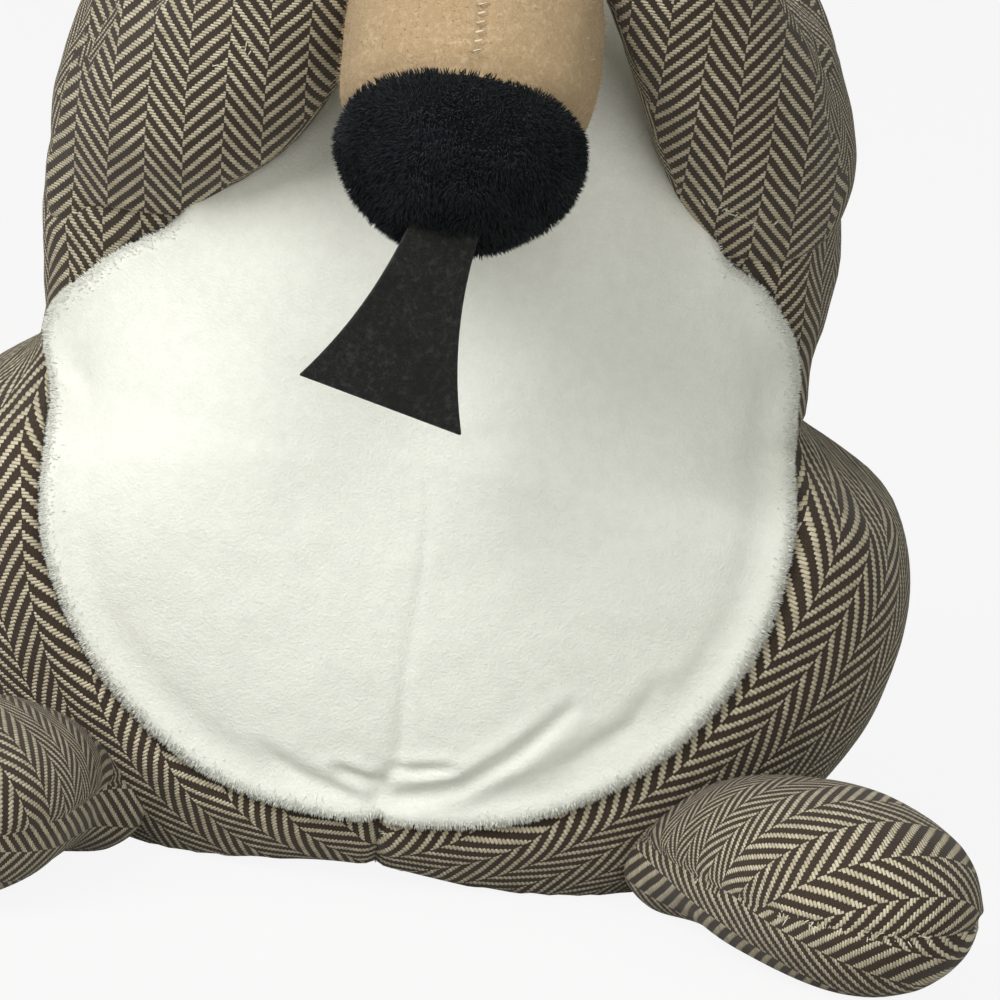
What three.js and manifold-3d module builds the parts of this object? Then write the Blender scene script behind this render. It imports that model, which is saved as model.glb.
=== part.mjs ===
// A weighted door stop: a stuffed tweed squirrel, sitting on a sand-filled base with an acorn in its paws.
// Millimetres, +Z up, the squirrel faces -Y. The origin is the middle of the flat base.
import * as THREE from "three";
import { mergeVertices } from "three/addons/utils/BufferGeometryUtils.js";
import Module from "manifold-3d";

const wasm = await Module();
wasm.setup();

// Fabrics
const TWEED = 1.8;
const PLUSH = 2.6;
const FELT = 2.2;
const FUR = 4;
const SEAM_GAP = 0.3;
const STUFFING_GAP = 0.6;

// Body, seen from the front as a ring of reaches around the middle of the tummy
const TUMMY_HEIGHT = 79;
const TUMMY_RADIUS = 67;
const TUMMY_LOW_EDGE = 12;
const CHEST_EDGE = [47, 120];
const CHIN_EDGE = 26;
const HIP_REACH = 97;
const HIP_TOP_REACH = 87;
const HIP_FOLD = 81;
const FOLD_LENGTH = 6;
const FOLD_STEP = 1;
const WAIST = 68.5;
const CHEST_WIDTH = 61;
const CHEST_HEIGHT = 130;
const SHOULDER_WIDTH = 44;
const SHOULDER_HEIGHT = 168;
const NECK_WIDTH = 29;
const NECK_HEIGHT = 180;
const NECK_CROWN = 16;
const BASE_SPREAD = 100;
const BASE_SINK = 94;
const BELLY_REACH = 66;
const BASE_FULLNESS = 2.9;
const HIP_FULLNESS = 3;
const CHEST_FULLNESS = 2;
const BACK_REACH = 56;

// Base panel and the bag of sand on it
const BASE_WIDTH = 56;
const BASE_DEPTH = 40;
const BAG_WIDTH = 60;
const BAG_DEPTH = 43;
const BAG_HEIGHT = 70;

// Head
const SKULL = [46, 45, 46];
const SKULL_BACK = 4;
const SKULL_RISE = 36;
const SNOUT = [25, 30, 20];
const SNOUT_FORWARD = 40;
const SNOUT_DROP = 8;
const FACE_RADIUS = 31;
const EYE_DIAMETER = 9;
const EYE_SHANK = 3;
const SHANK_END = 3;
const EYE_SPREAD = 40;
const EYE_RISE = 14;
const NOSE_DIAMETER = 12;
const NOSE_RISE = 12;
const WASHER_DIAMETER = 9.5;
const WASHER_THICKNESS = 1.2;
const WASHER_CLEARANCE = 1.8;
const EAR_LENGTH = 40;
const EAR_WIDTH = 30;
const EAR_THICKNESS = 9;
const EAR_SPREAD = 25;
const EAR_TILT = 14;
const EAR_SINK = 5;
const EAR_RIM = 0.8;
const LINING_THICKNESS = 2.4;
const LINING_INSET = 4;

// Arms, from the shoulder round the elbow to the paw
const ARM_RADIUS = 16;
const ELBOW_RADIUS = 16.5;
const WRIST_RADIUS = 13;
const ELBOW_OUT = 54;
const ELBOW_FORWARD = 36;
const ELBOW_HEIGHT = 132;
const PAW_RADIUS = 14;
const ARM_ROOT = 4;
const FOREARM_BOW = [3, -2, -7];
const PAW_OUT = 6;
const PAW_BACK = 17;
const PAW_RISE = 38;

// Feet, each pointing forward and out
const FOOT_RADIUS = 20.5;
const HEEL_RADIUS = 12;
const FOOT_LENGTH = 53;
const FOOT_TURN = 33;
const HEEL_OUT = 57;
const HEEL_FORWARD = 34;
const FOOT_FLATTEN = 0.8;

// Acorn, held upside down
const NUT_DIAMETER = 42.5;
const NUT_LENGTH = 62;
const CAP_DIAMETER = 41;
const CAP_DOME = 13;
const CAP_WALL = 3;
const CAP_LIP = 7;
const ACORN_TILT = 35;
const ACORN_FORWARD = 100;
const ACORN_HEIGHT = 135;
const STALK_LENGTH = 31;
const STALK_TOP = 12;
const STALK_FLARE = 28;
const STALK_HANG = 8;
const STALK_TURN = 14;
const STALK_SINK = 2;

// Tail, up the back
const TAIL_RADIUS = 39;
const TAIL_TIP_RADIUS = 20;
const TAIL_HEIGHT = 232;
const TAIL_ASIDE = 30;
const TAIL_ROOT = 8;

const RIGHT = 1;
const LEFT = -1;
const ENDLESS = 1000;
const degrees = THREE.MathUtils.degToRad;
const blend = THREE.MathUtils.lerp;

// Solids

function solidOf(geometry) {
  const plain = geometry.index ? geometry.toNonIndexed() : geometry.clone();
  plain.deleteAttribute("normal");
  plain.deleteAttribute("uv");
  const merged = mergeVertices(plain, 1e-4);
  const positions = merged.attributes.position;
  const corner = [0, 1, 2].map(() => new THREE.Vector3());
  const kept = [];
  let volume = 0;
  for (let i = 0; i < merged.index.count; i += 3) {
    const [a, b, c] = merged.index.array.subarray(i, i + 3);
    if (a === b || b === c || c === a) continue;
    corner.forEach((p, k) => p.fromBufferAttribute(positions, [a, b, c][k]));
    volume += corner[0].dot(corner[1].clone().cross(corner[2]));
    kept.push(a, b, c);
  }
  if (volume < 0) kept.reverse();
  return new wasm.Manifold(
    new wasm.Mesh({
      numProp: 3,
      vertProperties: positions.array,
      triVerts: new Uint32Array(kept),
    }),
  );
}

function geometryOf(solid) {
  const mesh = solid.getMesh();
  const positions = new THREE.BufferAttribute(mesh.vertProperties, 3);
  const geometry = new THREE.BufferGeometry().setAttribute("position", positions);
  geometry.setIndex(new THREE.BufferAttribute(mesh.triVerts, 1));
  geometry.computeVertexNormals();
  return geometry;
}

function geometryFrom(triangles) {
  const numbers = triangles.flat().flatMap((p) => [p.x, p.y, p.z]);
  return new THREE.BufferGeometry().setAttribute(
    "position",
    new THREE.Float32BufferAttribute(numbers, 3),
  );
}

// The quads between neighbouring rows of points, as triangles.
function weave(rows, turned) {
  const triangles = [];
  for (let i = 0; i + 1 < rows.length; i++)
    for (let j = 0; j + 1 < rows[i].length; j++) {
      const [a, b] = [rows[i][j], rows[i][j + 1]];
      const [c, d] = [rows[i + 1][j + 1], rows[i + 1][j]];
      if (turned) triangles.push([a, c, b], [a, d, c]);
      else triangles.push([a, b, c], [a, c, d]);
    }
  return triangles;
}

// A closed solid through rings of points, each ring closing on itself and the ends closed by fans.
function skin(rings) {
  const closed = rings.map((ring) => [...ring, ring[0]]);
  const triangles = weave(closed, false);
  const middle = (ring) =>
    ring.reduce((sum, p) => sum.add(p), new THREE.Vector3()).divideScalar(ring.length);
  const start = middle(rings[0]);
  const end = middle(rings.at(-1));
  for (let j = 0; j < rings[0].length; j++) {
    triangles.push([start, closed[0][j + 1], closed[0][j]]);
    triangles.push([end, closed.at(-1)[j], closed.at(-1)[j + 1]]);
  }
  return solidOf(geometryFrom(triangles));
}

// A panel of fabric between an outer and an inner grid of points.
function panel(outer, inner) {
  const column = (rows, j) => rows.map((row) => row.at(j));
  const triangles = [
    ...weave(outer, false),
    ...weave(inner, true),
    ...weave([inner[0], outer[0]], false),
    ...weave([outer.at(-1), inner.at(-1)], false),
    ...weave([column(outer, 0), column(inner, 0)], false),
    ...weave([column(inner, -1), column(outer, -1)], false),
  ];
  return solidOf(geometryFrom(triangles));
}

function ball(centre, radii, rings = 8) {
  const sphere = new THREE.SphereGeometry(1, rings * 2, rings);
  return solidOf(sphere.scale(...radii).translate(...centre));
}

// A block larger than the squirrel that lies wholly on one side of a plane across an axis.
function halfSpace(way, place) {
  const centre = way.map((w) => w * (ENDLESS / 2) + Math.abs(w) * place);
  return solidOf(new THREE.BoxGeometry(ENDLESS, ENDLESS, ENDLESS).translate(...centre));
}

const steps = (from, to, count) =>
  Array.from({ length: count + 1 }, (_, i) => blend(from, to, i / count));

// A smooth curve through [place, value] pairs, flat at its ends.
function through(pairs) {
  const slope = pairs.map((_, i) => {
    if (i === 0 || i === pairs.length - 1) return 0;
    const [before, after] = [pairs[i - 1], pairs[i + 1]];
    return (after[1] - before[1]) / (after[0] - before[0]);
  });
  return (place) => {
    const after = pairs.findIndex(([p]) => p >= place);
    if (after === 0) return pairs[0][1];
    if (after < 0) return pairs.at(-1)[1];
    const [[p, v], [q, w]] = [pairs[after - 1], pairs[after]];
    const t = (place - p) / (q - p);
    const rise = (q - p) * (slope[after - 1] * t * (1 - t) ** 2 - slope[after] * t * t * (1 - t));
    return v + (w - v) * t * t * (3 - 2 * t) + rise;
  };
}

// Body: the angle goes round the tummy's middle, -90 straight down and 90 straight up.

const polar = (x, z) => {
  const up = z - TUMMY_HEIGHT;
  return [THREE.MathUtils.radToDeg(Math.atan2(up, x)), Math.hypot(x, up)];
};

const outline = through([
  [-90, BASE_SINK],
  [-52, BASE_SPREAD],
  [-28, HIP_REACH],
  [-7, HIP_TOP_REACH],
  polar(WAIST + FOLD_STEP, HIP_FOLD),
  polar(WAIST, HIP_FOLD + FOLD_LENGTH),
  polar(WAIST, (HIP_FOLD + CHEST_HEIGHT) / 2),
  polar(CHEST_WIDTH, CHEST_HEIGHT),
  polar(SHOULDER_WIDTH, SHOULDER_HEIGHT),
  polar(NECK_WIDTH, NECK_HEIGHT),
  [90, NECK_HEIGHT + NECK_CROWN - TUMMY_HEIGHT],
]);

const tummyEdge = through([
  [-90, TUMMY_HEIGHT - TUMMY_LOW_EDGE],
  [-60, TUMMY_RADIUS + 2],
  [-20, TUMMY_RADIUS + 1],
  [5, TUMMY_RADIUS - 1.5],
  [16, TUMMY_RADIUS],
  polar(...CHEST_EDGE),
  polar(CHIN_EDGE, NECK_HEIGHT),
  [90, NECK_HEIGHT - TUMMY_HEIGHT],
]);

const fullness = through([
  [-90, BASE_FULLNESS],
  [-40, HIP_FULLNESS],
  [-10, HIP_FULLNESS],
  [30, CHEST_FULLNESS],
]);

// The widest share of the outline that the tummy takes, so that the tweed reaches round its edge.
const WIDEST_TUMMY = 0.985;

// How far round from the tummy's middle (0) over the silhouette (90) to the back (180) a seam lies.
const turnAtEdge = (angle, shift) => {
  const share = Math.min((tummyEdge(angle) + shift) / outline(angle), WIDEST_TUMMY);
  return THREE.MathUtils.radToDeg(Math.asin(share ** (fullness(angle) / 2)));
};

function bodyPoint(side, angle, turn, inset) {
  const power = 2 / fullness(angle);
  const reach = (outline(angle) - inset) * Math.sin(degrees(turn)) ** power;
  const depth = (turn < 90 ? BELLY_REACH : BACK_REACH) - inset;
  const along = Math.abs(Math.cos(degrees(turn))) ** power;
  const z = TUMMY_HEIGHT + reach * Math.sin(degrees(angle));
  return new THREE.Vector3(
    side * (SEAM_GAP / 2 + reach * Math.cos(degrees(angle))),
    turn < 90 ? -depth * along : depth * along,
    Math.min(Math.max(z, inset), NECK_HEIGHT - SEAM_GAP / 2 - inset),
  );
}

const BODY_ANGLES = [
  ...steps(-90, -15, 8),
  ...steps(-8, 8, 4),
  ...steps(18, 90, 6),
];

// The turns at which each panel has its rows of points, from the middle of the tummy to that of the back.
const tummyTurns = (angle, shift) => steps(0, turnAtEdge(angle, shift), 5);
const sideTurns = (angle, shift) => [
  ...steps(turnAtEdge(angle, shift), 90, 3),
  ...steps(90, 180, 5).slice(1),
];

// Rows of points up the right side, or down the left one, so that a loop of both goes round the body.
const bodyRows = (side, turns, inset) => {
  const angles = side === RIGHT ? BODY_ANGLES : BODY_ANGLES.toReversed();
  return angles.map((angle) => turns(angle).map((turn) => bodyPoint(side, angle, turn, inset)));
};

const bodyPanel = (side, turns, shift, fabric) => {
  const grid = (inset) => bodyRows(side, (angle) => turns(angle, shift), inset);
  return panel(grid(0), grid(fabric));
};
const tummyHalf = (side) => bodyPanel(side, tummyTurns, -SEAM_GAP / 2, PLUSH);
const bodySide = (side) => bodyPanel(side, sideTurns, SEAM_GAP / 2, TWEED).subtract(baseOpening);

// The whole body as one solid, smaller all round by the inset.
function bodyForm(inset) {
  const turns = (angle) => [...tummyTurns(angle, 0), ...sideTurns(angle, 0).slice(1)];
  const rows = [...bodyRows(RIGHT, turns, inset), ...bodyRows(LEFT, turns, inset)];
  return skin(rows[0].map((_, j) => rows.map((row) => row[j])));
}

function oval(width, depth, bottom, top) {
  const disc = new THREE.CylinderGeometry(1, 1, top - bottom, 28);
  disc.rotateX(Math.PI / 2).scale(width, depth, 1);
  return solidOf(disc.translate(0, 0, (top + bottom) / 2));
}

const baseOpening = oval(BASE_WIDTH, BASE_DEPTH, -TWEED, TWEED + SEAM_GAP);
const basePanel = oval(BASE_WIDTH - SEAM_GAP, BASE_DEPTH - SEAM_GAP, 0, TWEED);
const bodyClear = bodyForm(-SEAM_GAP);

function weightBag(grow) {
  const floor = TWEED + SEAM_GAP - grow;
  const top = floor + BAG_HEIGHT + 2 * grow;
  const width = BAG_WIDTH + grow;
  const profile = [
    [0, floor],
    [width * 0.8, floor],
    [width * 0.97, floor + BAG_HEIGHT * 0.15],
    [width, floor + BAG_HEIGHT * 0.4],
    [width * 0.88, top - BAG_HEIGHT * 0.2],
    [width * 0.5, top - BAG_HEIGHT * 0.04],
    [0, top],
  ].map(([x, y]) => new THREE.Vector2(x, y));
  const bag = new THREE.LatheGeometry(profile, 16).rotateX(Math.PI / 2);
  return solidOf(bag.scale(1, BAG_DEPTH / BAG_WIDTH, 1));
}

// Limbs: stuffed tubes along a curve, closed by round ends.

function limb({ points, radii, flatten = 1, inset = 0, stations = 5, sides = 10 }) {
  const path = new THREE.CatmullRomCurve3(points.map((p) => new THREE.Vector3(...p)));
  const radius = through(radii.map((r, i) => [i / (radii.length - 1), r]));
  const ring = (t, ahead, share) => {
    const tangent = path.getTangent(t);
    const across = new THREE.Vector3(1, 0, 0).addScaledVector(tangent, -tangent.x).normalize();
    const over = tangent.clone().cross(across);
    const centre = path.getPoint(t).addScaledVector(tangent, ahead);
    return steps(0, 2 * Math.PI, sides).slice(0, -1).map((turn) => {
      const r = (radius(t) - inset) * share;
      const p = centre.clone().addScaledVector(across, r * Math.cos(turn));
      p.addScaledVector(over, flatten * r * Math.sin(turn));
      p.z = Math.max(p.z, inset);
      return p;
    });
  };
  const cap = [20, 55].map(degrees);
  const end = (t, way, turns) =>
    turns.map((turn) => ring(t, way * (radius(t) - inset) * Math.cos(turn), Math.sin(turn)));
  return skin([
    ...end(0, -1, cap),
    ...steps(0, 1, stations).map((t) => ring(t, 0, 1)),
    ...end(1, 1, cap.toReversed()),
  ]);
}

// A stuffed limb sewn to the body: its cover, open where it meets the body, and its filling.
function stuffedLimb(shape, fabric, away) {
  const whole = limb(shape);
  const inside = limb({ ...shape, inset: fabric });
  const filling = limb({ ...shape, inset: fabric + STUFFING_GAP });
  const trimmed = (solid) => away.reduce((left, cutter) => left.subtract(cutter), solid);
  return { cover: trimmed(whole.subtract(inside)), filling: trimmed(filling) };
}

// Acorn: its own axis is +Z from the cap's pole to the nut's tip, then it is tilted back.

function placeAcorn(geometry) {
  geometry.rotateX(-degrees(ACORN_TILT));
  return solidOf(geometry.translate(0, -ACORN_FORWARD, ACORN_HEIGHT));
}

function nutProfile(grow, below) {
  const radius = NUT_DIAMETER / 2;
  const shape = [
    [CAP_DIAMETER / 2 - CAP_WALL, CAP_WALL - CAP_DOME * 0.45],
    [CAP_DIAMETER / 2 - CAP_WALL, CAP_LIP + SEAM_GAP],
    [radius * 0.97, CAP_LIP + CAP_WALL],
    [radius, NUT_LENGTH * 0.4],
    [radius * 0.96, NUT_LENGTH * 0.56],
    [radius * 0.8, NUT_LENGTH * 0.75],
    [radius * 0.46, NUT_LENGTH * 0.92],
  ].map(([r, along], i) => new THREE.Vector2(r + grow, along - (i < 1 ? grow + below : 0)));
  const [bottom, top] = [shape[0].y, NUT_LENGTH + grow];
  return [new THREE.Vector2(0, bottom), ...shape, new THREE.Vector2(0, top)];
}

const nutSolid = (grow, below = 0) =>
  placeAcorn(new THREE.LatheGeometry(nutProfile(grow, below), 16).rotateX(Math.PI / 2));

function acornCap() {
  const outer = [
    [0, -CAP_DOME],
    [0.5, -CAP_DOME * 0.88],
    [0.84, -CAP_DOME * 0.45],
    [1, CAP_LIP * 0.3],
    [0.98, CAP_LIP],
  ].map(([share, along]) => new THREE.Vector2((share * CAP_DIAMETER) / 2, along));
  const profile = [...outer, new THREE.Vector2(0, CAP_LIP)];
  const whole = placeAcorn(new THREE.LatheGeometry(profile, 16).rotateX(Math.PI / 2));
  return whole.subtract(nutSolid(SEAM_GAP));
}

function acornStalk(cap) {
  const flare = new THREE.Shape();
  flare.moveTo(-STALK_TOP / 2, 0);
  flare.lineTo(STALK_TOP / 2, 0);
  flare.quadraticCurveTo(STALK_TOP / 2, -STALK_LENGTH * 0.6, STALK_FLARE / 2, -STALK_LENGTH);
  flare.lineTo(-STALK_FLARE / 2, -STALK_LENGTH);
  flare.quadraticCurveTo(-STALK_TOP / 2, -STALK_LENGTH * 0.6, -STALK_TOP / 2, 0);
  const felt = new THREE.ExtrudeGeometry(flare, { depth: FELT, bevelEnabled: false, curveSegments: 8 });
  felt.rotateX(Math.PI / 2 + degrees(STALK_HANG)).rotateY(degrees(STALK_TURN));
  const tilt = degrees(ACORN_TILT);
  const pole = STALK_SINK - CAP_DOME;
  felt.translate(0, -ACORN_FORWARD + pole * Math.sin(tilt), ACORN_HEIGHT + pole * Math.cos(tilt));
  return solidOf(felt).subtract(cap);
}

// Head

const skullCentre = [0, -SKULL_BACK, NECK_HEIGHT + SKULL_RISE];
const snoutCentre = [0, -SKULL_BACK - SNOUT_FORWARD, skullCentre[2] - SNOUT_DROP];
const shankDepth = TWEED + PLUSH + SHANK_END;
const neckCut = halfSpace([0, 0, -1], NECK_HEIGHT + SEAM_GAP / 2);

function headForm(inset) {
  const skull = ball(skullCentre, SKULL.map((r) => r - inset));
  const snout = ball(snoutCentre, SNOUT.map((r) => r - inset), 6);
  const floor = neckCut.translate([0, 0, inset]);
  return skull.add(snout).subtract(floor);
}

// The direction in which an eye or the nose looks out of the head, and the solid it turns into there.
function onHead(centre, radii, spread, rise, geometry) {
  const out = new THREE.Vector3(
    Math.sin(degrees(spread)) * Math.cos(degrees(rise)),
    -Math.cos(degrees(spread)) * Math.cos(degrees(rise)),
    Math.sin(degrees(rise)),
  );
  const reach = 1 / Math.hypot(out.x / radii[0], out.y / radii[1], out.z / radii[2]);
  const turn = new THREE.Quaternion().setFromUnitVectors(new THREE.Vector3(0, 0, 1), out);
  geometry.applyQuaternion(turn).translate(...out.multiplyScalar(reach).toArray());
  return solidOf(geometry.translate(...centre));
}

function bead(diameter) {
  const r = diameter / 2;
  const shank = EYE_SHANK / 2;
  const arc = steps(0, 90, 3).map((a) => [r * Math.cos(degrees(a)), r * 0.8 * Math.sin(degrees(a))]);
  const profile = [[0, -shankDepth], [shank, -shankDepth], [shank, SEAM_GAP], [r * 0.8, SEAM_GAP], ...arc.slice(1)];
  profile[profile.length - 1] = [0, r * 0.8];
  return new THREE.LatheGeometry(profile.map(([x, y]) => new THREE.Vector2(x, y)), 10).rotateX(
    Math.PI / 2,
  );
}

function shankHole() {
  const radius = EYE_SHANK / 2 + SEAM_GAP;
  return new THREE.CylinderGeometry(radius, radius, 4 * shankDepth, 8).rotateX(Math.PI / 2);
}

function ear(side, lining) {
  const thickness = lining ? LINING_THICKNESS : EAR_THICKNESS;
  const inset = lining ? LINING_INSET : 0;
  const leaf = new THREE.Shape();
  const half = EAR_WIDTH / 2 - inset;
  const top = EAR_LENGTH - inset;
  leaf.moveTo(-half * 0.7, inset);
  leaf.bezierCurveTo(-half * 1.2, top * 0.45, -half * 0.8, top * 0.85, 0, top);
  leaf.bezierCurveTo(half * 0.8, top * 0.85, half * 1.2, top * 0.45, half * 0.7, inset);
  leaf.closePath();
  const bevel = (thickness - EAR_RIM) / 2;
  const sheet = new THREE.ExtrudeGeometry(leaf, {
    depth: EAR_RIM,
    bevelThickness: bevel,
    bevelSize: bevel * 0.7,
    bevelOffset: -bevel * 0.7,
    bevelSegments: 1,
    curveSegments: 5,
  });
  sheet.translate(0, 0, -EAR_RIM / 2).rotateX(Math.PI / 2);
  if (lining) sheet.translate(0, -(EAR_THICKNESS + LINING_THICKNESS) / 2 - SEAM_GAP, 0);
  sheet.rotateY(side * degrees(EAR_TILT));
  const foot = skullCentre[2] + SKULL[2] * Math.sqrt(1 - (EAR_SPREAD / SKULL[0]) ** 2) - EAR_SINK;
  return solidOf(sheet.translate(side * EAR_SPREAD, -SKULL_BACK, foot)).subtract(headClear);
}

const headClear = headForm(-SEAM_GAP);
const headShell = headForm(0).subtract(headForm(TWEED));
const onSnout = (geometry) => onHead(snoutCentre, SNOUT, 0, NOSE_RISE, geometry);
const onSkull = (side, geometry) => onHead(skullCentre, SKULL, side * EYE_SPREAD, EYE_RISE, geometry);
const holes = [onSnout(shankHole()), onSkull(LEFT, shankHole()), onSkull(RIGHT, shankHole())];
const pierced = (solid) => holes.reduce((left, hole) => left.subtract(hole), solid);

// The cream face is the part of the head inside a ball round the snout.
const faceBall = (grow) => ball(snoutCentre, Array(3).fill(FACE_RADIUS + grow), 7);
const face = pierced(headShell).intersect(faceBall(-SEAM_GAP / 2));
const headBack = pierced(headShell).subtract(faceBall(SEAM_GAP / 2));
const headHalf = (side) => headBack.intersect(halfSpace([side, 0, 0], (side * SEAM_GAP) / 2));

function eyeWasher(side) {
  const [outer, inner] = [WASHER_DIAMETER / 2, EYE_SHANK / 2 + SEAM_GAP];
  const top = -TWEED - WASHER_CLEARANCE;
  const bottom = top - WASHER_THICKNESS;
  const profile = [
    [inner, bottom],
    [outer, bottom],
    [outer, top],
    [inner, top],
    [inner, bottom],
  ].map(([x, y]) => new THREE.Vector2(x, y));
  return onSkull(side, new THREE.LatheGeometry(profile, 10).rotateX(Math.PI / 2));
}

// Room in the stuffing for a washer and the end of its shank.
function washerRoom(side) {
  const radius = WASHER_DIAMETER / 2 + SEAM_GAP;
  const length = 2 * (shankDepth + STUFFING_GAP);
  return onSkull(side, new THREE.CylinderGeometry(radius, radius, length, 10).rotateX(Math.PI / 2));
}

const headStuffing = [washerRoom(LEFT), washerRoom(RIGHT)].reduce(
  (left, room) => left.subtract(room),
  pierced(headForm(TWEED + SEAM_GAP)),
);

// Limbs in place

const shoulder = [SHOULDER_WIDTH + ARM_ROOT, 0, SHOULDER_HEIGHT - ARM_ROOT];
const elbow = [ELBOW_OUT, -ELBOW_FORWARD, ELBOW_HEIGHT];
const paw = [NUT_DIAMETER / 2 + PAW_OUT, PAW_BACK - ACORN_FORWARD, ACORN_HEIGHT + PAW_RISE];

const arm = (side) => {
  const points = [
    shoulder,
    [ELBOW_OUT, -ELBOW_FORWARD / 2, (shoulder[2] + ELBOW_HEIGHT) / 2],
    elbow,
    elbow.map((place, i) => (place + paw[i]) / 2 + FOREARM_BOW[i]),
    paw,
  ].map(([x, y, z]) => [side * x, y, z]);
  const radii = [ARM_RADIUS, ARM_RADIUS, ELBOW_RADIUS, WRIST_RADIUS, PAW_RADIUS];
  return stuffedLimb({ points, radii, stations: 8, sides: 12 }, TWEED, [bodyClear, headClear, nutSolid(SEAM_GAP)]);
};

const foot = (side) => {
  const turn = degrees(FOOT_TURN);
  const at = (along, height) => [
    side * (HEEL_OUT + along * Math.sin(turn)),
    -HEEL_FORWARD - along * Math.cos(turn),
    height,
  ];
  const points = [
    at(0, HEEL_RADIUS),
    at(FOOT_LENGTH / 2, FOOT_RADIUS * FOOT_FLATTEN),
    at(FOOT_LENGTH, FOOT_RADIUS * FOOT_FLATTEN * 0.93),
  ];
  const radii = [HEEL_RADIUS, FOOT_RADIUS, FOOT_RADIUS * 0.95];
  return stuffedLimb({ points, radii, flatten: FOOT_FLATTEN }, TWEED, [bodyClear]);
};

const tailPoints = [
  [0, BACK_REACH - TAIL_ROOT, TAIL_RADIUS * 0.7],
  [TAIL_ASIDE * 0.5, BACK_REACH + TAIL_RADIUS * 0.55, TAIL_RADIUS * 1.5],
  [TAIL_ASIDE, BACK_REACH + TAIL_RADIUS * 0.75, TAIL_HEIGHT * 0.42],
  [TAIL_ASIDE * 0.5, BACK_REACH + TAIL_RADIUS * 0.7, TAIL_HEIGHT * 0.66],
  [0, BACK_REACH + TAIL_RADIUS * 0.85, TAIL_HEIGHT - TAIL_TIP_RADIUS * 2.4],
  [0, BACK_REACH + TAIL_RADIUS * 1.3, TAIL_HEIGHT - TAIL_TIP_RADIUS],
];
const tailRadii = [...[0.6, 0.95, 1, 1, 0.75].map((share) => share * TAIL_RADIUS), TAIL_TIP_RADIUS];
const tail = stuffedLimb(
  { points: tailPoints, radii: tailRadii, flatten: 0.75, stations: 8 },
  FUR,
  [bodyClear, headClear],
);

// Finishes

const finish = (colour, roughness) =>
  new THREE.MeshStandardMaterial({ color: colour, roughness, metalness: 0 });
const tweed = () => finish("#85766a", 0.9);
const cream = () => finish("#eeeee6", 0.95);
const cotton = () => finish("#d8d2c4", 0.95);

const arms = { left: arm(LEFT), right: arm(RIGHT) };
const feet = { left: foot(LEFT), right: foot(RIGHT) };
const cap = acornCap();
const nutHollow = nutSolid(-FELT, 2 * FELT);
const bodyStuffing = bodyForm(PLUSH + SEAM_GAP).subtract(weightBag(SEAM_GAP));

const pieces = [
  ["base_panel", basePanel, tweed()],
  ["body_side_left", bodySide(LEFT), tweed()],
  ["body_side_right", bodySide(RIGHT), tweed()],
  ["tummy_left", tummyHalf(LEFT), cream()],
  ["tummy_right", tummyHalf(RIGHT), cream()],
  ["weight_bag", weightBag(0), finish("#b8a888", 0.9)],
  ["body_stuffing", bodyStuffing, cotton()],
  ["arm_left", arms.left.cover, tweed()],
  ["arm_right", arms.right.cover, tweed()],
  ["arm_stuffing_left", arms.left.filling, cotton()],
  ["arm_stuffing_right", arms.right.filling, cotton()],
  ["foot_left", feet.left.cover, tweed()],
  ["foot_right", feet.right.cover, tweed()],
  ["foot_stuffing_left", feet.left.filling, cotton()],
  ["foot_stuffing_right", feet.right.filling, cotton()],
  ["tail", tail.cover, finish("#4a4038", 1)],
  ["tail_stuffing", tail.filling, cotton()],
  ["head_left", headHalf(LEFT), tweed()],
  ["head_right", headHalf(RIGHT), tweed()],
  ["face", face, cream()],
  ["head_stuffing", headStuffing, cotton()],
  ["eye_left", onSkull(LEFT, bead(EYE_DIAMETER)), finish("#0c0b0a", 0.15)],
  ["eye_right", onSkull(RIGHT, bead(EYE_DIAMETER)), finish("#0c0b0a", 0.15)],
  ["eye_washer_left", eyeWasher(LEFT), finish("#d9d9d4", 0.5)],
  ["eye_washer_right", eyeWasher(RIGHT), finish("#d9d9d4", 0.5)],
  ["nose", onSnout(bead(NOSE_DIAMETER)), finish("#0c0b0a", 0.3)],
  ["ear_left", ear(LEFT, false), tweed()],
  ["ear_right", ear(RIGHT, false), tweed()],
  ["ear_lining_left", ear(LEFT, true), cream()],
  ["ear_lining_right", ear(RIGHT, true), cream()],
  ["acorn_nut", nutSolid(0).subtract(nutHollow), finish("#c8ac84", 0.95)],
  ["acorn_nut_stuffing", nutSolid(-FELT - SEAM_GAP), cotton()],
  ["acorn_cap", cap, finish("#131718", 1)],
  ["acorn_stalk", acornStalk(cap), finish("#2b2a28", 0.95)],
];

const squirrel = new THREE.Group();
for (const [name, solid, material] of pieces) {
  const mesh = new THREE.Mesh(geometryOf(solid), material);
  mesh.name = name;
  squirrel.add(mesh);
}

export default squirrel;
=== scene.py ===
"""A weighted door stop: a stuffed squirrel in herringbone tweed, with a cream plush tummy and a felt acorn.

Sizes in the code are millimetres unless a name says otherwise, and finished meshes are in metres.
"""

import math

import bmesh
import bpy
import numpy as np
from bpy.props import BoolProperty, FloatProperty, FloatVectorProperty, IntProperty, PointerProperty
from mathutils import Matrix, Vector, noise
from mathutils.bvhtree import BVHTree


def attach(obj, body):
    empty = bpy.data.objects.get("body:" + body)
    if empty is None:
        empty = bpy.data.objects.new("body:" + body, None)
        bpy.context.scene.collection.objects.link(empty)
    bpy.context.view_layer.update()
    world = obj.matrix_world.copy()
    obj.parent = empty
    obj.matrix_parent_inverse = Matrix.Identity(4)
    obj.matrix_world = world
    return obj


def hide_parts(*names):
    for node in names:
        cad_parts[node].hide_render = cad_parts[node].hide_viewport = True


bl_info = {
    "name": "Tweed squirrel door stop",
    "version": (1, 0, 0),
    "blender": (4, 5, 0),
    "location": "View3D > Sidebar > Door stop",
    "description": "Dresses the weighted squirrel door stop in tweed, plush and felt",
    "category": "Object",
}

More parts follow.
